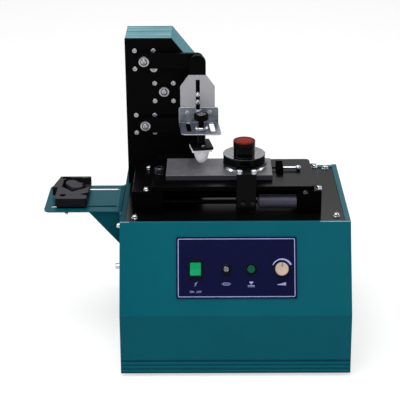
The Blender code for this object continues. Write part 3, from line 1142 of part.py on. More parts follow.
def ink_cup():
    """A folded bracket and a fork push the cup, which stands on the plate on its steel ring."""
    left, right = CUP_BRACKET_X - CUP_BRACKET_WIDTH / 2, CUP_BRACKET_X + CUP_BRACKET_WIDTH / 2
    origin = (CUP_BRACKET_X, SCREW_Y, SCREW_HEIGHT)
    front, back = CUP_BRACKET_FRONT, CUP_BRACKET_BACK
    reach = back + CUP_BRACKET_REACH
    angle = [(front, CUP_BRACKET_BOTTOM), (back, CUP_BRACKET_BOTTOM), (back, FLANGE_BOTTOM), (reach, FLANGE_BOTTOM),
             (reach, CUP_BRACKET_TOP), (front, CUP_BRACKET_TOP)]
    bracket = prism("cup_bracket", angle, "X", left, right, "black", machine, origin=origin)
    bevel(bracket, EDGE)

    # The fork is a neck as wide as the bracket, opening into a half ring round the cup's waist
    inner = CUP_WAIST_RADIUS + GAP
    left_meet = math.asin((CUP_X - left) / FORK_RADIUS)
    right_meet = math.asin((right - CUP_X) / FORK_RADIUS)
    centre = (CUP_X, PAD_Y)
    outline = [(left, back + GAP), (right, back + GAP)]
    outline += arc(centre, FORK_RADIUS, -math.pi / 2 + right_meet, 0, 2 * ARC)
    outline += arc(centre, inner, 0, -math.pi, 4 * ARC)
    outline += arc(centre, FORK_RADIUS, math.pi, 3 * math.pi / 2 - left_meet, 2 * ARC)
    prism("cup_fork", outline, "Z", FORK_BOTTOM, FORK_TOP, "zinc", machine, origin=origin)

    waist_low = FORK_BOTTOM - GAP
    waist_high = FORK_TOP + GAP
    chamber = CUP_WAIST_RADIUS - CUP_WALL
    ring_top = CUP_BOTTOM + CUP_RING_HEIGHT
    profile = [(chamber, CUP_BOTTOM), (CUP_RADIUS, CUP_BOTTOM), (CUP_RADIUS, ring_top), (CUP_WAIST_RADIUS, ring_top + EDGE),
               (CUP_WAIST_RADIUS, waist_high), (CUP_RADIUS, waist_high), (CUP_RADIUS, CUP_TOP), (0, CUP_TOP),
               (0, CUP_TOP - CUP_ROOF), (chamber, CUP_TOP - CUP_ROOF)]
    assert ring_top + EDGE < waist_low
    turned("ink_cup", profile, "Z", (CUP_X, PAD_Y, 0), "black", machine, origin=origin, sides=FINE)
    turned("cup_disc",
           [(0, DISC_BOTTOM), (DISC_RADIUS - EDGE, DISC_BOTTOM), (DISC_RADIUS, DISC_BOTTOM + EDGE),
            (DISC_RADIUS, DISC_BOTTOM + DISC_THICKNESS - EDGE), (DISC_RADIUS - EDGE, DISC_BOTTOM + DISC_THICKNESS),
            (0, DISC_BOTTOM + DISC_THICKNESS)],
           "Z", (CUP_X, PAD_Y, 0), "clear", machine, origin=origin, sides=FINE)
    top = CUP_KNOB_BOTTOM + CUP_KNOB_HEIGHT
    middle = CUP_KNOB_BOTTOM + CUP_KNOB_HEIGHT / 2
    turned("cup_knob",
           [(0, CUP_KNOB_BOTTOM), (CUP_KNOB_WAIST, CUP_KNOB_BOTTOM), (CUP_KNOB_WAIST, middle),
            (CUP_KNOB_RADIUS, middle + EDGE), (CUP_KNOB_RADIUS, top - CUP_KNOB_CROWN),
            (CUP_KNOB_RADIUS - CUP_KNOB_CROWN, top), (0, top)],
           "Z", (CUP_X, PAD_Y, 0), "black", machine, origin=(CUP_X, PAD_Y, CUP_KNOB_BOTTOM))


def shelf():
    """A folded bracket on the cabinet's left side, with two slots for the jig and a gusset."""
    outline = rounded((SHELF_LEFT, SHELF_FRONT), (SHELF_RIGHT, SHELF_BACK), [SHELF_CORNER, 0, 0, SHELF_CORNER])
    top = prism("side_shelf", outline, "Z", -SHELF_SHEET, 0, "teal", machine)
    flange = block("shelf_flange", (SHELF_RIGHT - SHELF_SHEET, SHELF_FLANGE_FRONT, -SHELF_FLANGE_DROP),
                   (SHELF_RIGHT, SHELF_BACK, 0), "teal", machine)
    low = SHELF_FRONT + GUSSET_SETBACK
    gusset_outline = [(SHELF_RIGHT - SHELF_SHEET / 2, -SHELF_FLANGE_DROP + GUSSET_SETBACK),
                      (SHELF_RIGHT - SHELF_SHEET / 2, -SHELF_SHEET / 2), (SHELF_RIGHT - GUSSET_REACH, -SHELF_SHEET / 2)]
    gusset = prism("gusset", gusset_outline, "Y", low, low + SHELF_SHEET, "teal", machine)
    add(top, flange, gusset)
    for name, y in (("front_slot", SHELF_SLOT_FRONT), ("back_slot", SHELF_SLOT_BACK)):
        ends = ((SHELF_LEFT + SHELF_SLOT_LEFT, y), (SHELF_RIGHT - SHELF_SLOT_RIGHT, y))
        cut(top, prism(name, slot_outline(*ends, SHELF_SLOT_WIDTH), "Z", -SHELF_SHEET - OVERRUN, OVERRUN, "teal",
                       machine))


def jig():
    """A base bolted through the shelf's slots carries a rest, between two jaws that slide on it."""
    base = prism("jig_base",
                 rounded((JIG_LEFT + JIG_BASE_INSET, JIG_FRONT + JIG_BASE_INSET),
                         (JIG_RIGHT - JIG_BASE_INSET, JIG_BACK - JIG_BASE_INSET), [JIG_CORNER] * 4),
                 "Z", GAP, JIG_BASE_HEIGHT, "black", machine)
    for name, y in (("front_stud", SHELF_SLOT_FRONT), ("back_stud", SHELF_SLOT_BACK)):
        add(base, rod(name, "Z", (JIG_X - JIG_STUD_OFFSET, y, 0), JIG_STUD_RADIUS, -JIG_STUD_LENGTH,
                      JIG_BASE_HEIGHT / 2, "zinc", machine, sides=SMALL))
    oval = []
    for i in range(4 * ARC):
        angle = 2 * math.pi * i / (4 * ARC)
        oval.append((JIG_X + REST_SIDE * math.cos(angle), JIG_SPLIT + REST_BACK + REST_REACH * math.sin(angle)))
    add(base, prism("rest", oval, "Z", JIG_BASE_HEIGHT / 2, REST_HEIGHT, "black", machine))

    low = JIG_BASE_HEIGHT + GAP
    meet = JIG_SPLIT - GAP
    corner = JIG_CORNER
    outline = rounded((JIG_LEFT, JIG_FRONT), (JIG_RIGHT, meet), [corner, corner, 0, 0])[:-2]
    outline += [(JIG_RIGHT, meet), (JIG_RIGHT - FRONT_V_RIGHT, meet), (JIG_X, meet - FRONT_V_DEPTH),
                (JIG_LEFT + FRONT_V_LEFT, meet), (JIG_LEFT, meet)]
    front = prism("jig_front_jaw", outline, "Z", low, JIG_HEIGHT, "black", machine, origin=(JIG_X, JIG_FRONT, low))
    bevel(front, EDGE)
    slit = JIG_FRONT + JIG_RELIEF_STEP
    cut(front,
        block("front_slit", (JIG_RIGHT - JIG_RELIEF_LENGTH, slit - JIG_RELIEF_WIDTH / 2, low + JIG_HEIGHT / 2),
              (JIG_RIGHT + OVERRUN, slit + JIG_RELIEF_WIDTH / 2, JIG_HEIGHT + OVERRUN), "black", machine),
        rod("front_screw_hole", "Z", (JIG_X - JIG_HOLE_LEFT + EDGE, JIG_FRONT + JIG_HOLE_FRONT, 0), JIG_HOLE_RADIUS,
            low + JIG_HEIGHT / 4, JIG_HEIGHT + OVERRUN, "black", machine, sides=SMALL))

    meet = JIG_SPLIT + GAP
    side = NEST_WIDTH / 2
    end = meet + NEST_DEPTH
    outline = [(JIG_LEFT - BACK_JAW_OVERHANG, meet), (JIG_X - side, meet), (JIG_X - side, end - NEST_CORNER),
               (JIG_X - side + NEST_CORNER, end), (JIG_X + side - NEST_CORNER, end), (JIG_X + side, end - NEST_CORNER),
               (JIG_X + side, meet), (JIG_RIGHT - EDGE, meet), (JIG_RIGHT - EDGE, JIG_BACK), (JIG_LEFT, JIG_BACK)]
    back = prism("jig_back_jaw", outline, "Z", low, JIG_HEIGHT, "black", machine, origin=(JIG_X, JIG_BACK, low))
    bevel(back, EDGE)


cabinet()
feet()
control_panel()
electrics()
column()
gears()
swing_motor()
arms()
head()
pad()
bed()
cup_drive()
ink_cup()
shelf()
jig()
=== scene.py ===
"""A desktop pad printing machine: a sheet metal cabinet with a column and a swinging head on its
deck, a bed with an etched plate and a sliding ink cup, and a shelf with a jig at its side.
Places are in millimetres from the deck: X from the cabinet's middle, Y back from the deck's
front edge, Z up from that edge.
"""

import json
import math

import bmesh
import bpy
from mathutils import Matrix, Vector

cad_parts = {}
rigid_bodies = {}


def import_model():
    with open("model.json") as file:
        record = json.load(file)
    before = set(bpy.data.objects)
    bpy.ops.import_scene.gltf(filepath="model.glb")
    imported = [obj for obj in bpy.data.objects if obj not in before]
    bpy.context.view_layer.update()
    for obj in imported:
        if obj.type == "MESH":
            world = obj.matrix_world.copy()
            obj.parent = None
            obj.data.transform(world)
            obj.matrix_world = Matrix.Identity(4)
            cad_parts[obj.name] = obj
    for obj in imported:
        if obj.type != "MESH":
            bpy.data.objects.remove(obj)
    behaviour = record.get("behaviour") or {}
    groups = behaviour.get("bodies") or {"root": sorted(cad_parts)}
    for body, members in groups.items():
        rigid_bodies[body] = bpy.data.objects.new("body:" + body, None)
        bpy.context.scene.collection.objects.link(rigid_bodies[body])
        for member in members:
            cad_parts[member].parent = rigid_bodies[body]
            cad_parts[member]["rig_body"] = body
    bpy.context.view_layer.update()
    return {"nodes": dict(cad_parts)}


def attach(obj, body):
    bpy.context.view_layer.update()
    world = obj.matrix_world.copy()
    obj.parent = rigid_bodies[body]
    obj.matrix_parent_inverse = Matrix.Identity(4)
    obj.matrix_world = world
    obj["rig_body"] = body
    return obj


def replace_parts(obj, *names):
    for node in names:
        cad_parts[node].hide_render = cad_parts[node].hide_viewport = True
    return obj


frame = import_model()

# ---- Cabinet ---------------------------------------------------------------------------------
# Folded steel sheet, 1.5 mm thick, with a satin teal polyester powder coat baked on.
# The front is one sheet folded at the deck and at the knee, over a tray that makes the plinth.
MM = 0.001
DECK = Matrix.Translation((0.074, -0.10305, 0.2773)) @ Matrix.Diagonal((MM, MM, MM, 1))
SLOPE = DECK @ Matrix.Rotation(math.atan2(155.3, 79.4), 4, "X")
HALF = 215          # half the cabinet's width
BACK = 292          # the back panel's outer face
FLOOR = -277.3      # the floor under the feet, seen from the deck
WELD = 2e-6         # in metres, the distance under which two points are one


def linear(code):
    """An sRGB hex colour as linear RGBA."""
    parts = [int(code[i:i + 2], 16) / 255 for i in (1, 3, 5)]
    return (*(c / 12.92 if c <= 0.04045 else ((c + 0.055) / 1.055) ** 2.4 for c in parts), 1)


def add_node(tree, kind, values=(), links=(), **settings):
    """A node with its settings, its socket values and the links into it."""
    made = tree.nodes.new("ShaderNode" + kind)
    for name, value in settings.items():
        setattr(made, name, value)
    for socket, value in dict(values).items():
        made.inputs[socket].default_value = value
    for socket, source in dict(links).items():
        tree.links.new(source, made.inputs[socket])
    return made


def start_material(name, **sockets):
    """A material, its tree, its shader with fixed sockets set, and the piece's own coordinates."""
    made = bpy.data.materials.new(name)
    made.use_nodes = True
    shader = made.node_tree.nodes["Principled BSDF"]
    short = {"rough": "Roughness", "gloss": "Specular IOR Level"}
    for socket, value in sockets.items():
        shader.inputs[short.get(socket, socket.replace("_", " "))].default_value = value
    return made, made.node_tree, shader, add_node(made.node_tree, "TexCoord").outputs["Object"]


def finish(name, light, dark, clouds, relief, strength, depth, **sockets):
    """A finish that drifts between two tones in clouds, over a relief of so many millimetres' depth."""
    made, tree, shader, place = start_material(name, **sockets)

    def pattern(kind, values):
        return add_node(tree, kind, values, {"Vector": place}).outputs[int(kind == "TexWave")]

    drift = pattern(*clouds)
    height = pattern(*relief) if relief else drift
    colour = add_node(tree, "Mix", {6: linear(light), 7: linear(dark)}, {0: drift}, data_type="RGBA")
    bump = add_node(tree, "Bump", {"Strength": strength, "Distance": depth * MM}, {"Height": height})
    tree.links.new(colour.outputs[2], shader.inputs["Base Color"])
    tree.links.new(bump.outputs[0], shader.inputs["Normal"])
    return made


def powder_coat(name, light, dark, grain, strength, **sockets):
    """Powder coat: a colour that drifts a little over 90 mm, and the orange peel of the baked film."""
    return finish(name, light, dark, ("TexNoise", {"Scale": 11, "Detail": 2}),
                  ("TexNoise", {"Scale": 1000 / grain, "Detail": 1.5}), strength, 0.2, **sockets)


# Polyester powder on steel: an even satin colour, with a soft pale glare where the light is low
teal_powder = powder_coat("teal_powder_coat", "#055967", "#03505D", 1.4, 0.06, rough=0.24, gloss=0.06)


def link(made):
    """Puts an object in the scene."""
    bpy.context.scene.collection.objects.link(made)
    return made


def to_piece(name, bm, material, body, slot, sharp=35):
    """A bmesh as a piece that is smooth but for its sharp edges, and rides on a body."""
    bmesh.ops.remove_doubles(bm, verts=bm.verts, dist=WELD)
    bmesh.ops.recalc_face_normals(bm, faces=bm.faces)
    mesh = bpy.data.meshes.new(name)
    bm.to_mesh(mesh)
    bm.free()
    mesh.shade_smooth()
    mesh.set_sharp_from_angle(angle=math.radians(sharp))
    mesh.materials.append(material)
    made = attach(link(bpy.data.objects.new(name, mesh)), body)
    return made if slot else made


def ease(made, width, segments=3, edge_finish_or_painted_highlight=None):
    """Rounds the sharp edges of a piece by a width in millimetres, and may give the rounds another finish, used
    for polished edges and for painted highlights.
    """
    edges = made.modifiers.new("edges", "BEVEL")
    edges.width = width * MM
    edges.segments = segments
    edges.limit_method = "ANGLE"
    edges.angle_limit = math.radians(40)
    if edge_finish_or_painted_highlight:
        made.data.materials.append(edge_finish_or_painted_highlight)
        edges.material = 1
    made.modifiers.new("shading", "WEIGHTED_NORMAL").keep_sharp = True
    return made


def copied(node, material, slot, ending="_worked"):
    """A CAD node's shape as a new piece in place of that node."""
    source = frame["nodes"][node]
    bm = bmesh.new()
    bm.from_mesh(source.data)
    bmesh.ops.remove_doubles(bm, verts=bm.verts, dist=WELD)
    bmesh.ops.dissolve_limit(bm, angle_limit=math.radians(1), verts=bm.verts, edges=bm.edges)
    made = to_piece(node + ending, bm, material, source["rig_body"], slot)
    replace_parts(made, node)
    return made


def eased(node, width, material, slot, edge_finish_or_painted_highlight=None):
    """A CAD node's shape with its edges rounded, in place of that node."""
    return ease(copied(node, material, slot, "_eased"), width, edge_finish_or_painted_highlight=edge_finish_or_painted_highlight)


def coat_faces(made, material, where):
    """Another finish on the faces whose normal and area pass a test."""
    made.data.materials.append(material)
    last = len(made.data.materials) - 1
    for face in made.data.polygons:
        if where(face.normal, face.area):
            face.material_index = last


def extrude(bm, outline, place, axis, start, end):
    """Adds an outline pushed along an axis, from start to end, to a bmesh."""
    order = {"X": (2, 0, 1), "Y": (0, 2, 1), "Z": (0, 1, 2)}[axis]
    rings = []
    for along in (start, end):
        rings.append([bm.verts.new(place @ Vector([(*point, along)[i] for i in order])) for point in outline])
    count = len(outline)
    for i in range(count):
        j = (i + 1) % count
        bm.faces.new((rings[0][i], rings[0][j], rings[1][j], rings[1][i]))
    bm.faces.new(rings[0])
    bm.faces.new(rings[1])


def extruded(name, outline, place, axis, start, end, *rest):
    """A piece of one outline pushed along an axis, with its material and body, and a slot that is not used."""
    bm = bmesh.new()
    extrude(bm, outline, place, axis, start, end)
    return to_piece(name, bm, *rest)


def bent(points, thickness, radius):
    """The outline of a sheet to the left of a line, with an arc of the given radius at each bend."""
    line = [Vector(points[0])]
    for before, corner, after in zip(points, points[1:], points[2:]):
        before, corner, after = Vector(before), Vector(corner), Vector(after)
        back, on = (before - corner).normalized(), (after - corner).normalized()
        half = back.angle(on) / 2
        reach = radius / math.tan(half)
        centre = corner + (back + on).normalized() * radius / math.sin(half)
        first, last = corner + back * reach - centre, corner + on * reach - centre
        sweep = last.angle_signed(first)
        for i in range(7):
            line.append(centre + Matrix.Rotation(sweep * i / 6, 2) @ first)
    line.append(Vector(points[-1]))
    inner = []
    for i, point in enumerate(line):
        way = (line[min(i + 1, len(line) - 1)] - line[max(i - 1, 0)]).normalized()
        inner.append(point + Vector((-way.y, way.x)) * thickness)
    return [tuple(p) for p in line + inner[::-1]]


def rounded(low, high, radius, steps=6):
    """A rectangle's outline with rounded corners."""
    points = []
    for i, (x, y) in enumerate(((low[0], low[1]), (high[0], low[1]), (high[0], high[1]), (low[0], high[1]))):
        centre = (x + radius * (1, -1, -1, 1)[i], y + radius * (1, 1, -1, -1)[i])
        for k in range(steps + 1):
            angle = math.pi + math.pi / 2 * (i + k / steps)
            points.append((centre[0] + radius * math.cos(angle), centre[1] + radius * math.sin(angle)))
    return points


skin = bent([(4, 0), (0, 0), (-79.4, -155.3), (-86.9, -246.7)], 1.5, 2.2)
front = ease(extruded("front_skin", skin, DECK, "X", -HALF, HALF, teal_powder, "machine_body", "teal_paint"),
             0.3, 2)
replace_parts(front, "front_panel")

tray = ease(extruded("base_pan", bent([(-86.93, -247), (-88.9, -271), (295, -271), (295, -259)], 1.5, 1.6),
                     DECK, "X", -HALF, HALF, teal_powder, "machine_body", "teal_paint"), 0.3, 2)
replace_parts(tray, "base_tray")

# The side sheets' rims take a rougher, less glossy teal; the left rim's teal is much darker, a painted shade
side_powder = powder_coat("side_teal_powder", "#0A5763", "#084D58", 1.4, 0.06, rough=0.28, gloss=0.045)
left_rim_painted_shade = powder_coat("left_rim_teal_painted_shade", "#043D48", "#03363F", 1.4, 0.06, rough=0.34, gloss=0.015)
for side, rim in (("left_side", left_rim_painted_shade), ("right_side", side_powder)):
    coat_faces(eased(side, 0.35, rim, "teal_paint"), teal_powder,
               lambda n, area: abs(n.x) > 0.98 and area > 1e-3)
eased("back_panel", 0.3, teal_powder, "teal_paint")

# A paler teal on the ends of the front fold, beside the bed, is a painted highlight
pale_teal_painted_highlight = powder_coat("pale_teal_edge_painted_highlight", "#7FA9AF", "#5E9099", 3.0, 0.06, rough=0.3, gloss=0.3)
bm = bmesh.new()
for start, end in ((-214.6, -198), (158, 214.6)):
    extrude(bm, [(-0.35, -1.0), (-0.3, -0.3), (0.2, 0.06), (0.9, 0.06), (0.9, -0.6)], DECK, "X", start, end)
to_piece("fold_painted_highlight", bm, pale_teal_painted_highlight, "machine_body", "teal_paint")

# The back panel's own top flange laps over the lid
ease(extruded("back_flange", rounded((-204.4, 279.6), (204.4, 291.6), 1.0, 3), DECK, "Z", -1.75, -0.1,
              teal_powder, "machine_body", "teal_paint"), 0.3, 2)

# The seam between the front sheet and the plinth shows as a dark line with a rolled lip below it
seam_shadow = powder_coat("seam_shadow_paint", "#064855", "#04323C", 1.4, 0.1, rough=0.6, gloss=0.03)
extruded("seam_groove", [(-86.9, -247.6), (-86.9, -243.6), (-87.2, -243.9), (-87.3, -247.3)], DECK, "X",
         0.6 - HALF, HALF - 0.6, seam_shadow, "machine_body", "teal_paint")


def plinth_face(z):
    """How far forward the leaning plinth stands at a height."""
    return -86.93 + (z + 247) * 1.97 / 24


# Three shallow beads pressed along the plinth stiffen it and catch the light as thin bands, with a
# shadow in each groove and under the bottom edge
bm = bmesh.new()
for low, high in ((-253.2, -248.0), (-261.0, -255.8), (-268.6, -264.0)):
    top, foot = plinth_face(high), plinth_face(low)
    extrude(bm, [(top + 0.5, high), (top - 0.2, high - 0.2), (foot - 0.9, (low + high) / 2),
                 (foot - 0.2, low + 0.2), (foot + 0.5, low)], DECK, "X", 0.4 - HALF, HALF - 0.4)
ease(to_piece("plinth_beads", bm, teal_powder, "machine_body", "teal_paint"), 0.25, 2)
bm = bmesh.new()
for z in (-254.5, -262.5, -269.9):
    face = plinth_face(z)
    extrude(bm, [(face + 0.3, z + 1.0), (face - 0.12, z + 0.9), (face - 0.2, z - 0.9), (face + 0.2, z - 1.0)],
            DECK, "X", 0.6 - HALF, HALF - 0.6)
groove_shadow = powder_coat("plinth_groove_teal", "#064F5C", "#05444F", 1.4, 0.05, rough=0.6, gloss=0.03)
to_piece("plinth_grooves", bm, groove_shadow, "machine_body", "teal_paint")

# ---- Cabinet fixings -------------------------------------------------------------------------
# Zinc-plated machine screws hold the sides to the tray and the back, and the back has louvres
# pressed outwards for the electronics' warm air.


def hexagon(angle):
    """How far a hexagon of unit half width reaches at an angle."""
    return 1 / math.cos(angle % (math.pi / 3) - math.pi / 6)


def turn(bm, profile, place, sides=48, closed=False):
    """Adds a turned shape: rings of (radius, height) or (radius, height, shape of the ring)."""
    rings = []
    for radius, height, *shape in profile:
        ring = []
        for i in range(sides):
            angle = 2 * math.pi * i / sides
            reach = radius * (shape[0](angle) if shape else 1)
            point = Vector((reach * math.cos(angle), reach * math.sin(angle), height))
            ring.append(bm.verts.new(place @ point))
        rings.append(ring)
    pairs = list(zip(rings, rings[1:])) + ([(rings[-1], rings[0])] if closed else [])
    for first, second in pairs:
        for i in range(sides):
            j = (i + 1) % sides
            bm.faces.new((first[i], first[j], second[j], second[i]))
    if not closed:
        bm.faces.new(rings[0])
        bm.faces.new(rings[-1])


def turned(name, profile, place, sides, *rest, closed=False):
    """A piece of one turned shape, with its material and body, and a slot that is not used."""
    bm = bmesh.new()
    turn(bm, profile, place, sides, closed)
    return to_piece(name, bm, *rest)


def at(x, y, z, way="Z"):
    """A frame at a point whose Z looks one way: a letter for an axis, with a minus to turn it."""
    turns = {"Z": (0, "X"), "-Y": (90, "X"), "Y": (-90, "X"), "X": (90, "Y"), "-X": (-90, "Y")}
    degrees, axis = turns[way]
    return DECK @ Matrix.Translation((x, y, z)) @ Matrix.Rotation(math.radians(degrees), 4, axis)


def cap_screw(bm, place, radius, height):
    """A socket head cap screw with its hexagon socket."""
    turn(bm, [(radius, 0), (radius, height - 0.6), (radius - 0.2, height - 0.2), (radius - 0.7, height),
              (radius * 0.58, height), (radius * 0.5, height - 0.3, hexagon),
              (radius * 0.48, height * 0.45, hexagon)], place, 36)


def cross(angle):
    """A cross recess: deep between the arms, out at them."""
    return 0.45 + 0.55 * abs(math.cos(2 * angle)) ** 3


def pan_screw(bm, place, radius, height):
    """A domed pan head screw with a cross recess, on a thin washer."""
    turn(bm, [(radius * 1.3, 0), (radius * 1.3, 0.6), (radius * 1.02, 0.7), (radius, 0.8),
              (radius * 0.94, height * 0.6), (radius * 0.75, height * 0.88), (radius * 0.58, height * 0.96),
              (radius * 0.5, height * 0.98, cross), (radius * 0.34, height * 0.5, cross)], place, 48)


def bright_metal(name, light, dark, grain, strength, **sockets):
    """Plated or turned metal: fine grain in mottled spangles, with small changes of colour."""
    return finish(name, light, dark, ("TexNoise", {"Scale": 1000 / grain, "Detail": 3}), None, strength, 0.1,
                  **{"Metallic": 1.0, **sockets})


# Bright zinc plate on steel: bluish and slightly cloudy, with a sharp glint
zinc_plate = bright_metal("bright_zinc_plate", "#D3D5DA", "#A9ADB6", 4, 0.15, rough=0.27)

bm = bmesh.new()
for side, way in ((-HALF, "-X"), (HALF, "X")):
    for y, z in ((-52, -235), (100, -235), (262, -235), (262, -30), (262, -130)):
        pan_screw(bm, at(side, y, z, way), 3.4, 2.2)
to_piece("side_screws", bm, zinc_plate, "machine_body", "zinc_steel")
bm = bmesh.new()
for x in (-200, -70, 70, 200):
    for z in (-16, -262):
        pan_screw(bm, at(x, BACK, z, "Y"), 3.2, 2)
to_piece("back_screws", bm, zinc_plate, "machine_body", "zinc_steel")

# Each louvre is a slit whose upper lip is pressed out into a hood
bm = bmesh.new()
for column in (-100, 10):
    for z in range(-60, -160, -12):
        hood = [(BACK + 0.05, z + 4.5), (BACK + 2.2, z - 0.4), (BACK + 2.2, z - 1.4), (BACK + 1.4, z - 1.4),
                (BACK + 0.05, z + 1)]
        extrude(bm, hood, DECK, "X", column - 38, column + 38)
ease(to_piece("back_louvres", bm, teal_powder, "machine_body", "teal_paint"), 0.3, 2)

# ---- Deck ------------------------------------------------------------------------------------
# A black-painted steel lid let in between the side flanges. Its smooth enamel is glossy enough
# to mirror a pale room in grey. Capped screws hold three corners, and one sits beside the column.
black_enamel = finish("black_enamel_lid", "#050505", "#080708", ("TexNoise", {"Scale": 45, "Detail": 4}),
                      ("TexNoise", {"Scale": 900, "Detail": 1}), 0.1, 0.1, rough=0.19, gloss=0.06)
eased("deck_plate", 0.25, black_enamel, "black_paint")

nickel = bright_metal("nickel_plated_caps", "#DCDCE0", "#B9BAC0", 2.5, 0.1, rough=0.16)
bm = bmesh.new()
for x, y in ((-187.4, 24), (190.6, 29.5), (190.8, 276.5), (20, 276.5)):
    turn(bm, [(6.9, 0), (6.9, 0.7), (6.2, 1.2), (5.7, 1.3), (5.6, 2.6), (5.3, 3.9), (4.7, 5.0), (3.8, 5.8),
              (2.7, 6.2), (2.2, 6.0, hexagon), (2.1, 4.4, hexagon)], at(x, y, -1.8), 48)
to_piece("deck_caps", bm, nickel, "machine_body", "zinc_steel")

# ---- Feet ------------------------------------------------------------------------------------
# Moulded black rubber rings, slightly flared at the top. Each has a sunk hole in its middle for
# the screw that holds it to the tray.
foot_rubber = finish("moulded_rubber", "#101010", "#1F1E1E", ("TexNoise", {"Scale": 700, "Detail": 3}), None,
                     0.4, 0.2, rough=0.85)
for foot, (x, y) in {"front_left_foot": (-183, -56.9), "front_right_foot": (183, -56.9),
                     "back_left_foot": (-183, 263), "back_right_foot": (183, 263)}.items():
    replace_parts(turned(foot + "_moulding", [(3.6, 3.8), (3.6, 1.2), (5.4, 0.2), (10.6, 0), (12.2, 0.5),
                                            (13.0, 1.6), (13.8, 5.0), (13.9, 5.9), (3.6, 5.9)],
                       at(x, y, FLOOR), 48, foot_rubber, "machine_body", "rubber_feet", closed=True), foot)

# ---- Control panel ---------------------------------------------------------------------------
# A 2 mm aluminium plate under a satin polyester film, printed navy on its back.
# A pale border line, the speed wedge and four small pictures are printed on the film's face.
navy_film = finish("printed_polyester_film", "#0B0F38", "#090C2F", ("TexNoise", {"Scale": 30, "Detail": 3}),
                   ("TexNoise", {"Scale": 2500, "Detail": 1}), 0.06, 0.1, rough=0.38, gloss=0.06)
eased("control_panel", 0.4, navy_film, "printed_panel")


def hoop(bm, outer, inner, place, start, end):
    """Adds a closed band between two outlines with the same number of points."""
    edges = ((start, outer), (end, outer), (end, inner), (start, inner))
    loops = [[bm.verts.new(place @ Vector((x, y, z))) for x, y in line] for z, line in edges]
    for first, second in zip(loops, loops[1:] + loops[:1]):
        for i in range(len(outer)):
            j = (i + 1) % len(outer)
            bm.faces.new((first[i], first[j], second[j], second[i]))


def polar(x, y, points):
    """Points round a centre, from pairs of a radius and an angle in degrees."""
    return [(x + r * math.cos(math.radians(a)), y + r * math.sin(math.radians(a))) for r, a in points]


# Screen ink stands a few hundredths of a millimetre proud, so it is drawn a little thicker
pale_ink = powder_coat("pale_screen_ink", "#A9ACDB", "#989BCF", 1.0, 0.1, rough=0.5, gloss=0.1)
FILM, INK = 2.3, 2.38       # the heights of the film's face and of the ink on it
# Where the four controls sit across the slope, and how far down it their row is
ROCKER_X, FUSE_X, BUTTON_X, SPEED_X, ROW = -74, -17.1, 29, 85.4, -88.3
bm = bmesh.new()
hoop(bm, rounded((-106.6, -139.5), (110.4, -31.4), 2.6), rounded((-105.3, -138.2), (109.1, -32.7), 1.6),
     SLOPE, FILM, INK)
rim = [(17.1, 155 - 5 * i) for i in range(27)] + [(20.9 - 0.085 * i, 25 + 5 * i) for i in range(27)]
extrude(bm, polar(SPEED_X, ROW, rim), SLOPE, "Z", FILM, INK)
# A bolt of current, a fuse, a pad over its plate and a tapering speed mark
for shape in (
    [(-77.5, -120.3), (-72.5, -117.2), (-74.5, -115.9), (-69.2, -110.6), (-75.7, -114.9),
     (-73.8, -116.4)],
    [(-26.0, -115.0), (-8.2, -115.0), (-8.2, -115.7), (-26.0, -115.7)],
    [(25.2, -111.0), (32.8, -111.0), (31.6, -114.2), (26.4, -114.2)],
    [(27.3, -114.9), (30.7, -114.9), (29.0, -117.0)],
    [(22.6, -118.2), (35.4, -118.2), (35.4, -119.2), (22.6, -119.2)],
    [(22.6, -120.4), (35.4, -120.4), (35.4, -121.0), (22.6, -121.0)],
    [(77.0, -116.6), (93.2, -112.2), (93.2, -118.4), (77.0, -117.4)],
):
    extrude(bm, shape, SLOPE, "Z", FILM, INK)
hoop(bm, rounded((-22.6, -117.9), (-11.6, -112.9), 0.9), rounded((-22.0, -117.3), (-12.2, -113.5), 0.4),
     SLOPE, FILM, INK)
to_piece("panel_print", bm, pale_ink, "machine_body", "printed_panel")
for word, x in (("ON", -80.5), ("OFF", -67.5)):
    text = bpy.data.curves.new("switch_" + word.lower(), "FONT")
    text.body, text.size, text.align_x, text.extrude = word, 5.2, "CENTER", 0.04
    text.materials.append(pale_ink)
    made = link(bpy.data.objects.new(text.name, text))
    made.matrix_world = SLOPE @ Matrix.Translation((x, -131.4, (FILM + INK) / 2))
    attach(made, "machine_body")


def plastic(name, light, dark, grain, strength, **sockets):
    """Moulded plastic: an even colour with a faint flow and the fine spark texture of its mould."""
    return finish(name, light, dark, ("TexNoise", {"Scale": 60, "Detail": 2}),
                  ("TexVoronoi", {"Scale": 1000 / grain}), strength, 0.08, **sockets)


# ABS for the black mouldings, a brighter tinted polycarbonate for the lit green ones
black_abs = plastic("black_abs", "#070709", "#0C0C0E", 0.6, 0.25, rough=0.36, gloss=0.12)
green_lens = plastic("green_polycarbonate", "#079660", "#058352", 0.9, 0.05, rough=0.22, gloss=0.08)
green_abs = plastic("green_abs", "#0A563F", "#074635", 0.8, 0.1, rough=0.3, gloss=0.12)
ivory_abs = plastic("ivory_abs", "#C4AF9F", "#B5A091", 0.8, 0.1, rough=0.4, gloss=0.2)

eased("rocker_bezel", 0.7, black_abs, "black_plastic")
eased("rocker_switch", 0.9, green_lens, "green_plastic")
ROCKER = SLOPE @ Matrix.Translation((ROCKER_X, ROW, 2.6)) @ Matrix.Rotation(math.radians(-8), 4, "X")
bm = bmesh.new()
extrude(bm, rounded((-0.5, 4.6), (0.5, 9.2), 0.4, 3), ROCKER, "Z", 3.4, 3.85)
turn(bm, [(2.4, 3.3), (2.4, 3.85), (1.7, 3.85), (1.7, 3.3)], ROCKER @ Matrix.Translation((0, -7, 0)), 32,
     closed=True)
to_piece("rocker_marks", bm, green_lens, "rocker", "green_plastic")


def knurl(count, depth):
    """The ring of a knurled rim: so many rounded teeth, as deep as a share of the radius."""
    return lambda angle: 1 - depth * (0.5 + 0.5 * math.cos(count * angle))


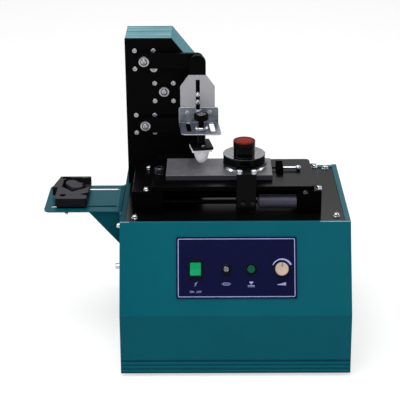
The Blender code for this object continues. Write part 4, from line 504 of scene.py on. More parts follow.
# The fuse carrier screws in: a black cap with a knurled rim and a nickel contact with a slot
grip = knurl(28, 0.05)
FUSE = SLOPE @ Matrix.Translation((FUSE_X, ROW, 0))
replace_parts(turned("fuse_carrier", [(6, -22), (6, 2.6), (9.3, 2.6), (9.3, 3.4), (9.1, 3.6, grip),
                                    (9.1, 6.8, grip), (8.5, 7.2), (6.2, 7.3), (6.0, 11.2), (5.6, 11.6),
                                    (4.7, 11.6), (4.7, 10.9)], FUSE, 168, black_abs, "fuse", "black_plastic"),
            "fuse_cap")
bm = bmesh.new()
for way in (0, 180):
    half = polar(0, 0, [(4.5, a) for a in range(10, 171, 10)])
    extrude(bm, half, FUSE @ Matrix.Rotation(math.radians(way), 4, "Z"), "Z", 10.9, 11.7)
ease(to_piece("fuse_contact", bm, nickel, "fuse", "zinc_steel"), 0.3, 2)

# The push button sits in a black collar screwed to the panel, with a dished top for the finger
BUTTON = SLOPE @ Matrix.Translation((BUTTON_X, ROW, 0))
turned("button_collar", [(10.8, FILM), (10.8, 3.9), (10.2, 4.5), (8.3, 4.5), (7.9, 4.1), (7.9, FILM)], BUTTON,
       64, black_abs, "machine_body", "black_plastic", closed=True)
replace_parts(turned("button_cap", [(4, -12), (4, 5.6), (7.3, 5.6), (7.3, 8.7), (7.0, 9.3), (6.4, 9.6),
                                  (5.8, 9.55), (4.2, 9.2), (2, 9.0)], BUTTON, 48, green_abs, "button",
                   "green_plastic"), "print_button")

# The speed knob is an ivory cap with fine flutes on a black skirt, with a line cut to the rim
KNOB = SLOPE @ Matrix.Translation((SPEED_X, ROW, 0))
flutes = knurl(36, 0.035)
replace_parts(turned("speed_cap", [(3, 5.6), (12.4, 5.6), (12.5, 6.0, flutes), (12.3, 16.6, flutes),
                                 (11.9, 17.9), (11.2, 18.5), (9.6, 18.6), (9.2, 18.35), (4, 18.2)], KNOB, 216,
                   ivory_abs, "speed", "ivory_plastic"), "speed_knob")
bm = bmesh.new()
turn(bm, [(3, -15), (3, 2.6), (13.5, 2.6), (13.5, 4.6), (12.9, 5.6), (3, 5.6)], KNOB, 72)
extrude(bm, [(-0.6, 4), (0.6, 4), (0.6, 10.9), (-0.6, 10.9)], KNOB, "Z", 18.2, 18.66)
to_piece("speed_skirt", bm, black_abs, "speed", "black_plastic")

# ---- Electrics -------------------------------------------------------------------------------
# A moulded mains inlet with plated pins, a supply in a galvanised steel case and a board on posts.
# Both stand on the tray inside the closed cabinet.
eased("power_inlet", 0.4, black_abs, "black_plastic")
bm = bmesh.new()
for step, rise in ((-1, -2), (0, 2), (1, -2)):
    extrude(bm, rounded((120 + step * 7 - 1.1, -205 + rise - 2.1), (120 + step * 7 + 1.1, -205 + rise + 2.1),
                        0.5, 3), DECK, "Y", 278.6, 287.6)
for x in (100.2, 139.8):
    pan_screw(bm, at(x, 294.5, -205, "Y"), 2.6, 1.6)
to_piece("inlet_pins", bm, nickel, "machine_body", "zinc_steel")

galvanised = bright_metal("galvanised_steel", "#B9BDC1", "#8F959B", 14, 0.1, rough=0.42)
eased("power_supply", 0.5, galvanised, "zinc_steel")
# The supply's vent slots are black strips on its case, painted shade for the openings
bm = bmesh.new()
for i in range(7):
    extrude(bm, rounded((-166 + i * 20, 78), (-162 + i * 20, 162), 1.6, 4), DECK, "Z", -224.2, -223.7)
to_piece("supply_vent_shade_strips", bm, black_abs, "machine_body", "black_plastic")

BOARD = -255.7     # the height of the board's face
board_mask, tree, shader, place = start_material("glass_epoxy_board", rough=0.35)
tracks = add_node(tree, "TexBrick", {"Scale": 150, "Mortar Size": 0.03, "Color1": linear("#1F5B38"),
                                     "Color2": linear("#1A4E30"), "Mortar": linear("#3E8A58")},
                  {"Vector": place})
bump = add_node(tree, "Bump", {"Strength": 0.2, "Distance": 0.0001}, {"Height": tracks.outputs[1]})
tree.links.new(tracks.outputs[0], shader.inputs["Base Color"])
tree.links.new(bump.outputs[0], shader.inputs["Normal"])
eased("control_board", 0.3, board_mask, "circuit_board")
bm = bmesh.new()
for x, y, radius, height in ((52, 78, 5, 14), (52, 92, 4, 11), (158, 84, 6, 16), (158, 100, 4, 10),
                             (160, 136, 3.5, 9)):
    turn(bm, [(radius, 0), (radius, 1.6), (radius * 0.94, 2), (radius, 2.4), (radius, height - 0.5),
              (radius - 0.5, height)], at(x, y, BOARD), 28)
for x in (60, 74, 88, 118, 132, 146):
    extrude(bm, rounded((x - 5, 142), (x + 5, 151), 0.6, 2), DECK, "Z", BOARD, -246)
to_piece("board_parts", bm, black_abs, "machine_body", "black_plastic")

# ---- Column ----------------------------------------------------------------------------------
# A 6 mm steel plate in matt black powder coat carries the shafts; a teal sheet folded over the
# top closes it behind. Three round bearings sit in the plate, each held by four cap screws.
black_powder = powder_coat("black_powder_coat", "#030303", "#060606", 0.9, 0.3, rough=0.5, gloss=0.03)
eased("column_plate", 0.5, black_powder, "black_paint")
# The shroud is painted in a lighter copy of the cabinet's teal, a painted light on its chamfer and sides
shroud_teal_painted_light = powder_coat("column_teal_painted_light", "#0A7482", "#076875", 1.4, 0.06, rough=0.24, gloss=0.03)
cover = bent([(-61, -1.5), (-61, 223.4), (-119.5, 297), (-209, 297), (-209, 0.3)], 1.5, 2.4)
shroud = extruded("shroud_sheet", cover, DECK, "Y", 201.3, 289, shroud_teal_painted_light, "machine_body", "teal_paint")
# The flat top is painted a paler teal with streaks along it: the streaks are its own, the paleness is a painted
# reflection
streaked_top_painted_reflection, tree, shader, place = start_material("streaked_teal_top_painted_reflection", rough=0.35, gloss=0.08)
spread = add_node(tree, "Mapping", {"Scale": (2, 32, 2)}, {"Vector": place})
streaks = add_node(tree, "TexNoise", {"Scale": 3, "Detail": 4}, {"Vector": spread.outputs[0]})
sharp = add_node(tree, "MapRange", {"From Min": 0.36, "From Max": 0.62}, {0: streaks.outputs[0]})
colour = add_node(tree, "Mix", {6: linear("#649CA4"), 7: linear("#296470")}, {0: sharp.outputs[0]},
                  data_type="RGBA")
bump = add_node(tree, "Bump", {"Strength": 0.08, "Distance": 0.0002}, {"Height": streaks.outputs[0]})
tree.links.new(colour.outputs[2], shader.inputs["Base Color"])
tree.links.new(bump.outputs[0], shader.inputs["Normal"])
coat_faces(shroud, streaked_top_painted_reflection, lambda n, area: n.z > 0.97)
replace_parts(ease(shroud, 0.3, 2), "column_shroud")
eased("column_back_cover", 0.3, teal_powder, "teal_paint")

for name in ("upper_bearing", "middle_bearing", "lower_bearing"):
    eased(name, 0.3, black_powder, "black_alloy")

# Older zinc plate has gone dull and grey
screw_zinc = bright_metal("dulled_screw_zinc", "#C3C4C8", "#8C8D94", 1.6, 0.3, rough=0.3)
SHAFTS = {"upper": (-172, 256), "lower": (-172, 126), "middle": (-134.583, 191)}
bm = bmesh.new()
for x, z in SHAFTS.values():
    for dx, dz in ((-18, -18), (18, -18), (18, 18), (-18, 18)):
        cap_screw(bm, at(x + dx, 195, z + dz, "-Y"), 4.6, 3.6)
# The last screw of the upper bearing shows from under the arm, on a wider washer
turn(bm, [(7.2, 0), (7.2, 1.0), (6.8, 1.3), (4.6, 1.3)], at(-154, 195, 238, "-Y"), 40)
ease(to_piece("bearing_screws", bm, screw_zinc, "machine_body", "zinc_steel"), 0.25, 2)
bm = bmesh.new()
for x, z in ((-200, 20), (-70, 20), (-200, 150), (-70, 150), (-200, 285), (-128, 285)):
    pan_screw(bm, at(x, 290.8, z, "Y"), 3, 1.8)
to_piece("cover_screws", bm, zinc_plate, "machine_body", "zinc_steel")

# ---- Shafts and gears ------------------------------------------------------------------------
# Hobbed steel gears, oiled dark, pressed on ground shafts. Each shaft ends in front of its arm
# in a plated bolt: a wide flange, a sunk ring and a domed centre with a hexagon socket.
hobbed_steel = bright_metal("hobbed_steel", "#6C6E73", "#4D4F54", 1.5, 0.25, rough=0.36)
# For outlines drawn in X and Z, with their depth in Y
UPRIGHT = DECK @ Matrix(((1, 0, 0, 0), (0, 0, 1, 0), (0, 1, 0, 0), (0, 0, 0, 1)))
MODULE, WHEEL, PINION = 2.5, 34, 26       # the gears' tooth size and their teeth


def gear(bm, teeth, phase, x, z):
    """A spur gear, 8 mm wide, with a thin web between its rim and its hub."""
    pitch = 2 * math.pi / teeth
    line = []
    for i in range(teeth):
        for reach, share in ((-2.625, -0.32), (-2.1, -0.29), (0, -0.235), (1.3, -0.16), (1.75, -0.12),
                             (1.75, 0.12), (1.3, 0.16), (0, 0.235), (-2.1, 0.29), (-2.625, 0.32)):
            line.append((MODULE / 2 * teeth + reach, phase + (i + share) * pitch))
    # The teeth, then the rim's inside a millimetre out for each tooth, the hub and the bore
    outer, inner, hub, bore = (
        [(x + (radius or r) * math.cos(a), z + (radius or r) * math.sin(a)) for r, a in line]
        for radius in (None, teeth, 11, 6))
    hoop(bm, outer, inner, UPRIGHT, 208.3, 216.3)
    hoop(bm, inner, hub, UPRIGHT, 210.0, 214.6)
    hoop(bm, hub, bore, UPRIGHT, 208.3, 216.3)


drive = SHAFTS["middle"]
for name, body, teeth, back in (("upper", "upper_crank", PINION, 217.8),
                                ("lower", "lower_crank", PINION, 217.8),
                                ("middle", "drive_shaft", WHEEL, 232.6)):
    x, z = SHAFTS[name]
    way = math.atan2(z - drive[1], x - drive[0])
    phase = 0 if name == "middle" else way + math.pi + way * WHEEL / PINION + math.pi / PINION
    bm = bmesh.new()
    gear(bm, teeth, phase, x, z)
    seat = 194.7 if name == "middle" else 181.7
    turn(bm, [(6, seat - back), (6, 0)], at(x, seat, z, "-Y"), 40)
    made = to_piece(name + "_gear_and_shaft", bm, hobbed_steel, body, "dark_steel")
    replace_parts(made, {"middle": "drive_gear"}.get(name, name + "_arm_gear"))
    bm = bmesh.new()
    tall = 4.2 if name == "middle" else 6.0
    bolt = at(x, seat, z, "-Y")
    turn(bm, [(6.5, 0), (10.2, 0), (10.2, tall - 2.6), (9.9, tall - 1.9), (9.2, tall - 1.5),
              (7.2, tall - 1.4), (6.5, tall - 1.8)], bolt, 60, closed=True)
    turn(bm, [(5.6, 0), (5.6, tall - 1.6), (5.2, tall - 0.8), (4.2, tall - 0.2), (3.0, tall),
              (2.2, tall - 0.3, hexagon), (2.1, tall - 2.2, hexagon)], bolt, 60)
    to_piece(name + "_shaft_bolt", bm, screw_zinc, body, "zinc_steel")
    # The sunk ring is filled with black to near the flange's top, a painted shade in the groove
    turned(name + "_bolt_groove_painted_shade", [(5.5, 0), (6.6, 0), (6.6, tall - 2.3), (5.5, tall - 2.3)], bolt, 60,
           black_powder, body, "black_paint", closed=True)

# The geared motor that swings the arms: a cast gearbox and a drawn steel can on a zinc plate
cast_alloy = bright_metal("die_cast_alloy", "#8A8C90", "#6B6D72", 1.8, 0.4, rough=0.5)
eased("motor_mount", 0.3, galvanised, "zinc_steel")
eased("swing_motor", 0.5, cast_alloy, "dark_steel")
bm = bmesh.new()
for dx, dz in ((-25, -25), (25, -25), (25, 25), (-25, 25)):
    cap_screw(bm, at(drive[0] + dx, 249.6, drive[1] + dz, "Y"), 3, 3)
for i in range(14):
    turn(bm, [(27.15, 0), (27.15, 0.9), (26.9, 0.9), (26.9, 0)], at(drive[0], 256 + i * 2, drive[1], "Y"), 48,
         closed=True)
to_piece("motor_trim", bm, zinc_plate, "machine_body", "zinc_steel")

# ---- Arms ------------------------------------------------------------------------------------
# Two cranks cut from 8 mm steel, black powder coated, with a collar and a pin for the head bar.
for arm in ("upper_arm", "lower_arm"):
    eased(arm, 0.7, black_powder, "black_paint")

# ---- Head ------------------------------------------------------------------------------------
# A black steel bar hangs on both arms. A blasted aluminium plate slides on it under two screws,
# and a folded zinc-plated angle on the plate carries the pad.

# Hard black anodising, a little bluish; the head bar's rounded edges take it as a slightly lighter line, a
# painted highlight
black_anodised = bright_metal("black_anodised_aluminium", "#0C0C0E", "#08080A", 1.2, 0.2, rough=0.4,
                              gloss=0.03, Metallic=0.2)
# Its rounded edges in the lighter anodising are a painted highlight
eased("head_bar", 1.6, black_powder, "black_paint", edge_finish_or_painted_highlight=black_anodised)
for arm in ("upper", "lower"):
    turned(arm + "_pin_end", [(5.7, 0), (5.7, 0.25), (4.6, 0.25), (4.4, 0.1), (1.6, 0.1)],
           at(-69.5, 165.35, SHAFTS[arm][1], "-Y"), 40, black_powder, arm + "_crank", "black_paint")

blasted = bright_metal("bead_blasted_aluminium", "#B4B3B9", "#A8A7AD", 0.8, 0.3, rough=0.55, Metallic=0.55)
plate = [(-102.8, 140.2), (-69, 140.2), (-36.4, 140.2), (-36.4, 211.6), (-52.5, 233.8), (-69, 233.8),
         (-86.9, 233.8), (-102.8, 211.6)]
opening = [(-72.9, 162.0), (-69, 162.0), (-65.1, 162.0), (-65.1, 224.0), (-65.3, 224.8), (-69, 224.8),
           (-72.7, 224.8), (-72.9, 224.0)]
bm = bmesh.new()
hoop(bm, plate, opening, UPRIGHT, 161.7, 164.7)
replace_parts(ease(to_piece("height_plate", bm, blasted, "head_slide", "zinc_steel"), 0.35), "slotted_plate")
SCREW_ZS = (195.6, 180.7)       # how high the plate's two screws sit
bm = bmesh.new()
for z in SCREW_ZS:
    turn(bm, [(4.9, 0), (4.9, 0.6), (4.6, 0.9), (3.9, 0.9)], at(-69, 161.6, z, "-Y"), 40)
ease(to_piece("height_washers", bm, blasted, "head", "zinc_steel"), 0.15, 2)
bm = bmesh.new()
for z in SCREW_ZS:
    turn(bm, [(4.0, 0.9), (4.0, 1.5), (3.8, 2.5), (3.0, 3.4), (2.2, 3.6), (1.9, 3.6, cross),
              (1.3, 2.0, cross)], at(-69, 161.6, z, "-Y"), 48)
to_piece("height_screws", bm, nickel, "head", "zinc_steel")


def carve(made, tool):
    """Cuts the shape of a bmesh out of a piece."""
    bmesh.ops.recalc_face_normals(tool, faces=tool.faces)
    mesh = bpy.data.meshes.new("tool")
    tool.to_mesh(mesh)
    tool.free()
    cutter = link(bpy.data.objects.new("tool", mesh))
    modifier = made.modifiers.new("carve", "BOOLEAN")
    modifier.operation, modifier.solver, modifier.object = "DIFFERENCE", "EXACT", cutter
    result = bpy.data.meshes.new_from_object(made.evaluated_get(bpy.context.evaluated_depsgraph_get()))
    made.modifiers.clear()
    made.data = result
    bpy.data.objects.remove(cutter)
    return made


# Blue-passivated zinc over rolled steel: a dark bluish grey that clouds from place to place, and a paler zinc
# on the rounded edges that is a painted highlight
blue_zinc = bright_metal("blue_passivated_zinc", "#9CA1AC", "#565B67", 7, 0.25, rough=0.42)
pale_zinc_painted_highlight = bright_metal("pale_zinc_edge_painted_highlight", "#D2D6DC", "#B4B9C2", 3, 0.1, rough=0.35)
FRONT, BEND, TOP = 90.9, 161.4, 170.6       # the shelf's front edge, the bend and the lip's top
SKEW = 6 / 70                               # how far the shelf leans aside for each step forward
bm = bmesh.new()
extrude(bm, bent([(FRONT, 137.8), (BEND, 137.8), (BEND, TOP)], 2.2, 4.4), Matrix.Identity(4), "X", -106,
        -29.8)
bmesh.ops.recalc_face_normals(bm, faces=bm.faces)
for flat, reach, along in ((FRONT, 8.5, 1), (TOP, 3.5, 2)):
    corners = [e for e in bm.edges if all(abs(v.co[along] - flat) < 0.01 for v in e.verts)
               and abs(e.verts[0].co.x - e.verts[1].co.x) < 0.01]
    bmesh.ops.bevel(bm, geom=corners, offset=reach, segments=5, affect="EDGES", profile=0.5)
bm.transform(DECK @ Matrix(((1, -SKEW, 0, BEND * SKEW), (0, 1, 0, 0), (0, 0, 1, 0), (0, 0, 0, 1))))
bracket = to_piece("folded_bracket", bm, blue_zinc, "head_slide", "zinc_steel")
# Two long slots follow the skewed shelf, and the lip has a notch that clears the lower screw
bm = bmesh.new()
for x in (-89.4, -44.2):
    slot = []
    for y, ends in ((111.5, range(180, 361, 20)), (152.5, range(0, 181, 20))):
        slot += polar(x + (BEND - y) * SKEW, y, [(4.6, a) for a in ends])
    extrude(bm, slot, DECK, "Z", 136, 142)
carve(bracket, bm)
PAD = at(-62.5, 119, 0)
bm = bmesh.new()
turn(bm, [(5.2, 136), (5.2, 142)], PAD, 36)
carve(bracket, bm)
bm = bmesh.new()
extrude(bm, rounded((-74.3, 165.4), (-63.7, 175), 1.5, 3), DECK, "Y", 156, 163)
# The bracket's rounded edges take the pale zinc, a painted highlight
ease(carve(bracket, bm), 1.0, edge_finish_or_painted_highlight=pale_zinc_painted_highlight)
# The faces across the bend take a darker zinc, a painted shade
bend_zinc_painted_shade = bright_metal("bend_zinc_painted_shade", "#5D626E", "#474B56", 4, 0.25, rough=0.5)
coat_faces(bracket, bend_zinc_painted_shade, lambda n, area: 0.3 < abs(n.y) < 0.96 and abs(n.x) < 0.05 and area > 1e-5)
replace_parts(bracket, "pad_bracket")
bm = bmesh.new()
for x, z in ((-89.6, 160.4), (-46.3, 161.2), (-68.6, 161.0)):
    turn(bm, [(4.2, 0), (4.2, 0.5), (3.4, 0.7), (3.3, 2.0), (2.9, 2.6), (1.9, 2.8), (1.7, 2.5, hexagon),
              (1.6, 1.2, hexagon)], at(x, 159.2, z, "-Y"), 40)
to_piece("lip_screws", bm, blasted, "head_slide", "zinc_steel")

# ---- Pad -------------------------------------------------------------------------------------
# A blackened steel stem is clamped on the angle by a plated round nut and a knurled knob. Under
# it a black plate holds a white silicone pad, cast on a wooden base board.

# The anodised holder is polished bright along its edges
black_gloss = bright_metal("polished_black_edge", "#2A2A2D", "#1C1C1F", 2, 0.05, rough=0.18)
ground_steel = bright_metal("ground_steel", "#DADCE0", "#C0C2C8", 3, 0.03, rough=0.2)
black_oxide = bright_metal("black_oxide_steel", "#0E0E10", "#070708", 1.2, 0.15, rough=0.3)
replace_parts(turned("stem_bar", [(8, 109.9), (8, 134.8), (7.5, 135.3), (7.5, 136.9), (7.9, 137.5), (5, 137.5),
                                (5, 146.4), (5.9, 147.0), (5.9, 158.6), (5.2, 159.4), (4.2, 161)], PAD, 48,
                   black_oxide, "pad_unit", "dark_steel"), "pad_stem")
turned("stem_nut", [(5.2, 140.3), (12.2, 140.3), (12.9, 140.8), (13.3, 142.0), (13.5, 143.3), (13.3, 144.7),
                    (12.8, 145.8), (12.0, 146.5), (10.4, 146.9), (6.2, 146.9), (5.2, 146.4)], PAD, 96,
       ground_steel, "pad_unit", "zinc_steel", closed=True)
bakelite = plastic("brown_black_bakelite", "#0A0606", "#070404", 1.0, 0.1, rough=0.5, gloss=0.03)
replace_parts(turned("clamp_knob", [(4.4, 160.0), (12.4, 160.0), (13.3, 160.6), (13.7, 161.6, knurl(36, 0.04)),
                                  (13.7, 169.4, knurl(36, 0.04)), (13.2, 170.5), (12.0, 171.2), (9.4, 171.2),
                                  (9.2, 170.6), (4, 170.6)], PAD, 216, bakelite, "stem_knob",
                   "black_plastic"), "pad_knob")
turned("knob_insert", [(2.6, 170.4), (8.8, 170.4), (8.8, 171.0), (8.3, 171.4), (3.6, 171.4), (3.2, 170.9)],
       PAD, 48, blue_zinc, "stem_knob", "black_plastic", closed=True)

HOLDER = PAD @ Matrix.Rotation(math.radians(10), 4, "Z")
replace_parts(ease(extruded("holder_plate", rounded((-20, -22), (20, 30.4), 3.4, 6), HOLDER, "Z", 104.7, 109.8,
                          black_anodised, "pad_unit", "black_alloy"), 1.1, edge_finish_or_painted_highlight=black_gloss), "pad_holder")
bm = bmesh.new()
for x, y in ((0.8, -12), (0.8, 22)):
    cap_screw(bm, HOLDER @ Matrix.Translation((x, y, 109.8)), 3, 2.4)
to_piece("holder_screws", bm, zinc_plate, "pad_unit", "zinc_steel")

silicone = finish("cast_silicone", "#FAF9FF", "#F3F2FD", ("TexNoise", {"Scale": 120, "Detail": 3}), None,
                  0.08, 0.3, rough=0.42, Subsurface_Weight=0.25, Subsurface_Scale=0.004,
                  Subsurface_Radius=(1.0, 0.9, 0.95))
dome = [(14.6 * math.sin(math.pi / 2 * i / 20),
         98.6 - 26.6 * math.cos(math.pi / 2 * i / 20)) for i in range(1, 21)]
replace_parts(turned("pad_dome", [(0.2, 72.0)] + dome + [(14.9, 99.4), (15.8, 100.0), (16.4, 100.4)], HOLDER,
                   64, silicone, "pad_unit", "silicone", 60), "pad")
pale_beech = finish("pale_beech_board", "#F6F4F8", "#E6E3EA",
                    ("TexWave", {"Scale": 160, "Distortion": 6, "Detail": 3}), None, 0.2, 0.1, rough=0.55)
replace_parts(ease(extruded("pad_board", rounded((-20.4, -19), (17.5, 19), 1.2, 3), HOLDER, "Z", 100.2, 104.6,
                          pale_beech, "pad_unit", "silicone"), 0.4), "pad")

# ---- Bed -------------------------------------------------------------------------------------
# Two black painted blocks carry a machined platform, and on it lies the etched steel plate that
# holds the picture. A stop behind it, a clamp at its end and an eccentric knob hold it in place.
machined_black = powder_coat("machined_black_platform", "#030303", "#050506", 0.5, 0.12, rough=0.3,
                             gloss=0.05)


def is_side(n, area):
    """Whether a face stands upright, from its normal."""
    return abs(n.z) < 0.5


# The blocks' and the platform's ends and sides stay matt from the saw
sawn_black = powder_coat("sawn_black_sides", "#020202", "#030303", 1.0, 0.12, rough=0.35, gloss=0.01)
for name in ("left_bed_block", "right_bed_block", "bed_platform"):
    coat_faces(eased(name, 0.5, machined_black, "black_paint"), sawn_black, is_side)
gun_blue = bright_metal("gun_blued_steel", "#5A5A62", "#3C3C43", 1.5, 0.2, rough=0.3)
turned("block_button_screw", [(5.2, 0), (5.2, 0.8), (4.4, 2.0), (3.2, 2.8), (2.2, 3.1), (2.0, 2.8, hexagon),
                              (1.9, 1.4, hexagon)], at(132.3, 41, 40.6, "-Y"), 40, gun_blue, "machine_body",
       "dark_steel")

etched, tree, shader, place = start_material("etched_steel_plate", Metallic=0.2, gloss=0.2)
clouds = add_node(tree, "TexNoise", {"Scale": 70, "Detail": 6, "Roughness": 0.6}, {"Vector": place})
colour = add_node(tree, "ValToRGB", {}, {0: clouds.outputs[0]})
colour.color_ramp.elements[0].position, colour.color_ramp.elements[0].color = 0.32, linear("#575659")
colour.color_ramp.elements[1].position, colour.color_ramp.elements[1].color = 0.72, linear("#6B6A6F")
rough = add_node(tree, "MapRange", {"To Min": 0.38, "To Max": 0.52}, {0: clouds.outputs[0]})
bump = add_node(tree, "Bump", {"Strength": 0.1, "Distance": 0.0001}, {"Height": clouds.outputs[0]})
tree.links.new(colour.outputs[0], shader.inputs["Base Color"])
tree.links.new(rough.outputs[0], shader.inputs["Roughness"])
tree.links.new(bump.outputs[0], shader.inputs["Normal"])
# The plate's upright edges are painted darker, a painted shade
plate_edge_painted_shade = powder_coat("dark_plate_edge_painted_shade", "#37363B", "#2E2D31", 0.8, 0.1, rough=0.5, gloss=0.03)
coat_faces(eased("steel_plate", 0.4, etched, "dark_steel"), plate_edge_painted_shade, is_side)
blackened = powder_coat("blackened_stop", "#060606", "#080808", 0.8, 0.2, rough=0.8, gloss=0.0)
eased("rear_plate_stop", 0.4, blackened, "black_paint")
# The clamp is a matt black block, with a dark stub towards the plate
CLAMP_Y, CLAMP_Z = 124, 58.9        # the clamp screw's axis
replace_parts(ease(extruded("plate_clamp", rounded((81.2, 106.5), (94.3, 147.5), 0.8, 3), DECK, "Z", 54.3, 64.6,
                          blackened, "machine_body", "black_paint"), 0.5, 2), "clamp_block")
turned("clamp_point", [(1.2, 0), (1.9, 0.5), (1.9, 8.9)], at(72.3, CLAMP_Y, CLAMP_Z, "X"), 32, black_powder,
       "plate_screw", "dark_steel")

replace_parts(turned("clamp_spindle", [(2.8, 0), (2.8, 24.6), (3.2, 25.2), (4.3, 26.4),
                                     (4.9, 28.0, knurl(24, 0.06)), (4.9, 31.0, knurl(24, 0.06)), (4.2, 33.0),
                                     (2.8, 34.2), (1.2, 34.6)], at(94.4, CLAMP_Y, CLAMP_Z, "X"), 120,
                   zinc_plate, "plate_screw", "zinc_steel"), "clamp_screw")

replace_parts(turned("eccentric_knob", [(10.4, 54.3), (10.4, 55.0), (10.2, 55.3, knurl(40, 0.05)),
                                      (10.2, 64.2, knurl(40, 0.05)), (9.8, 65.4), (8.6, 66.3), (5.2, 66.3),
                                      (4.8, 65.7), (4.7, 62.0), (3.1, 62.0, hexagon), (3.0, 59.5, hexagon)],
                   at(-142.5, 112, 0), 160, gun_blue, "plate_lock", "dark_steel"), "plate_knob")

bm = bmesh.new()
for x, y in ((158.4, 53), (158.8, 165.5), (-166, 49), (-166, 160)):
    turn(bm, [(5.6, 0), (5.6, 0.7), (5.1, 0.9), (5.0, 2.8), (4.6, 4.2), (3.8, 5.1), (2.6, 5.6),
              (2.3, 5.2, hexagon), (2.2, 3.2, hexagon)], at(x, y, 44.2), 36)
to_piece("block_screws", bm, nickel, "machine_body", "zinc_steel")
bm = bmesh.new()
for x in (-140, -87):
    cap_screw(bm, at(x, 170.8, 66.8), 2.6, 2.0)
ease(to_piece("bed_screws", bm, blackened, "machine_body", "dark_steel"), 0.15, 2)

# ---- Cup drive -------------------------------------------------------------------------------
# A small geared motor in a bluish plated can turns a rolled lead screw under the platform. The
# black carriage runs on the screw and on a ground shaft behind it.
DRIVE_Y, DRIVE_Z = 52, 18.7       # the motor's and the lead screw's axis
motor_can = bright_metal("plated_motor_can", "#4B4A5A", "#3B3A48", 10, 0.06, rough=0.55, Metallic=0.6)
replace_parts(turned("motor_body", [(5.3, 0), (7, 0), (7, 2), (12.2, 2), (13.0, 2.8), (13.0, 19.0),
                                  (12.7, 19.3), (12.7, 20.2), (13.0, 20.5), (13.0, 66.0), (13.2, 66.4),
                                  (13.2, 72.6), (12.4, 73.5), (5.3, 73.5)], at(43.2, DRIVE_Y, DRIVE_Z, "X"),
                   64, motor_can, "machine_body", "dark_steel", closed=True), "cup_motor")
profile, x = [(4.4, 0.0)], 1.0
while x < 180:
    profile += [(4.0, x), (5.0, x + 0.6), (5.0, x + 1.4), (4.0, x + 2.0)]
    x += 3
ends = [(v.co.x - DECK.translation.x) / MM for v in frame["nodes"]["lead_screw"].data.vertices]
low, high = min(ends), max(ends)
profile = [(r, along) for r, along in profile if along < high - low] + [(4.0, high - low)]
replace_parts(turned("rolled_screw", profile, at(low, DRIVE_Y, DRIVE_Z, "X"), 24, black_oxide, "cup_screw",
                   "dark_steel"), "lead_screw")
guide = frame["nodes"]["guide_shaft"]
guide.data.materials.clear()
guide.data.materials.append(black_oxide)
eased("cup_carriage", 0.6, machined_black, "black_paint")

# ---- Ink cup ---------------------------------------------------------------------------------
# A black cup on a ground steel ring, under a clear disc and a knob with a red cap. A cast bracket
# and a plated fork push it by its waist.
eased("cup_bracket", 0.6, machined_black, "black_paint")
CUP_X, CUP_Y = 19.3, 119
CUP = at(CUP_X, CUP_Y, 0)
# The fork's left arm is slimmer than its right one
fork = [(3.0, 38.3), (40.0, 38.3)]
for radius, first, last in ((43.5, -61.6, 0), (36.3, 0, -180), (40.8, -180, -113.6)):
    fork += polar(CUP_X, CUP_Y, [(radius, first + (last - first) * i / 24) for i in range(25)])
fork_steel = bright_metal("dark_fork_steel", "#4A4C53", "#2C2E33", 5, 0.2, rough=0.35)
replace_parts(ease(extruded("waist_fork", fork, DECK, "Z", 71.9, 75.9, fork_steel, "cup_unit", "zinc_steel"),
                 0.5), "cup_fork")
turned("cup_ring", [(32, 65.1), (39.9, 65.1), (40.3, 65.5), (40.1, 66.3), (39.4, 67.8), (38.6, 69.3),
                    (37.6, 70.6), (36.6, 70.9), (32, 70.9)], CUP, 128, ground_steel, "cup_unit",
       "black_paint", closed=True)
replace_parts(turned("cup_body", [(32, 70.9), (36, 70.9), (36, 76.2), (39.4, 76.2), (40, 76.8), (40, 79.4),
                                (39.6, 79.8), (39.6, 80.6), (40, 81.0), (40, 88.7), (39.4, 89.3), (4, 89.3),
                                (4, 85.3), (32, 85.3)], CUP, 128, machined_black, "cup_unit", "black_paint",
                   closed=True), "ink_cup")

# Clear acrylic, hazed by ink and wiping. It gives the eye a soft grey mirror, so it is made to reflect
# like one
hazed_acrylic = finish("hazed_acrylic", "#7E7D82", "#939297", ("TexNoise", {"Scale": 90, "Detail": 4}),
                       ("TexNoise", {"Scale": 600, "Detail": 2}), 0.05, 0.1, rough=0.13, Metallic=1.0)
bm = bmesh.new()
turn(bm, [(21.4, 89.6), (39.9, 89.6), (40.5, 90.0), (40.5, 91.5), (40.0, 92.0), (30.2, 92.0), (30.0, 91.8),
          (29.6, 91.8), (29.4, 92.0), (21.8, 92.0)], CUP, 128, closed=True)
turn(bm, [(4.2, 89.6), (21.8, 89.6), (21.8, 92.0), (4.2, 92.0)], CUP, 128, closed=True)
disc = to_piece("clear_disc", bm, hazed_acrylic, "cup_unit", "clear_plastic")
disc_edge = plastic("dark_disc_edge", "#26272B", "#1D1E21", 2, 0.05, rough=0.3, gloss=0.2)
coat_faces(disc, disc_edge, lambda n, area: abs(n.z) < 0.8)
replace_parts(disc, "cup_disc")

polished_abs = plastic("polished_black_abs", "#060506", "#090809", 1.5, 0.03, rough=0.2, gloss=0.06)
flats = knurl(30, 0.012)
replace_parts(turned("knob_body", [(5, 92.3), (20.0, 92.3), (20.4, 92.8), (20.4, 104.6, flats), (20.1, 105.0),
                                 (20.7, 105.2), (21.1, 105.6, flats), (21.1, 114.8, flats), (20.8, 115.6),
                                 (5, 115.6)], CUP, 240, polished_abs, "cup_lid_knob", "black_plastic"),
            "cup_knob")
red_abs = plastic("red_abs_ring_painted_shade", "#5C1A12", "#50150F", 0.8, 0.1, rough=0.45, gloss=0.03)
bright_red = plastic("red_abs_centre_painted_light", "#82281C", "#732218", 0.8, 0.1, rough=0.45, gloss=0.015)
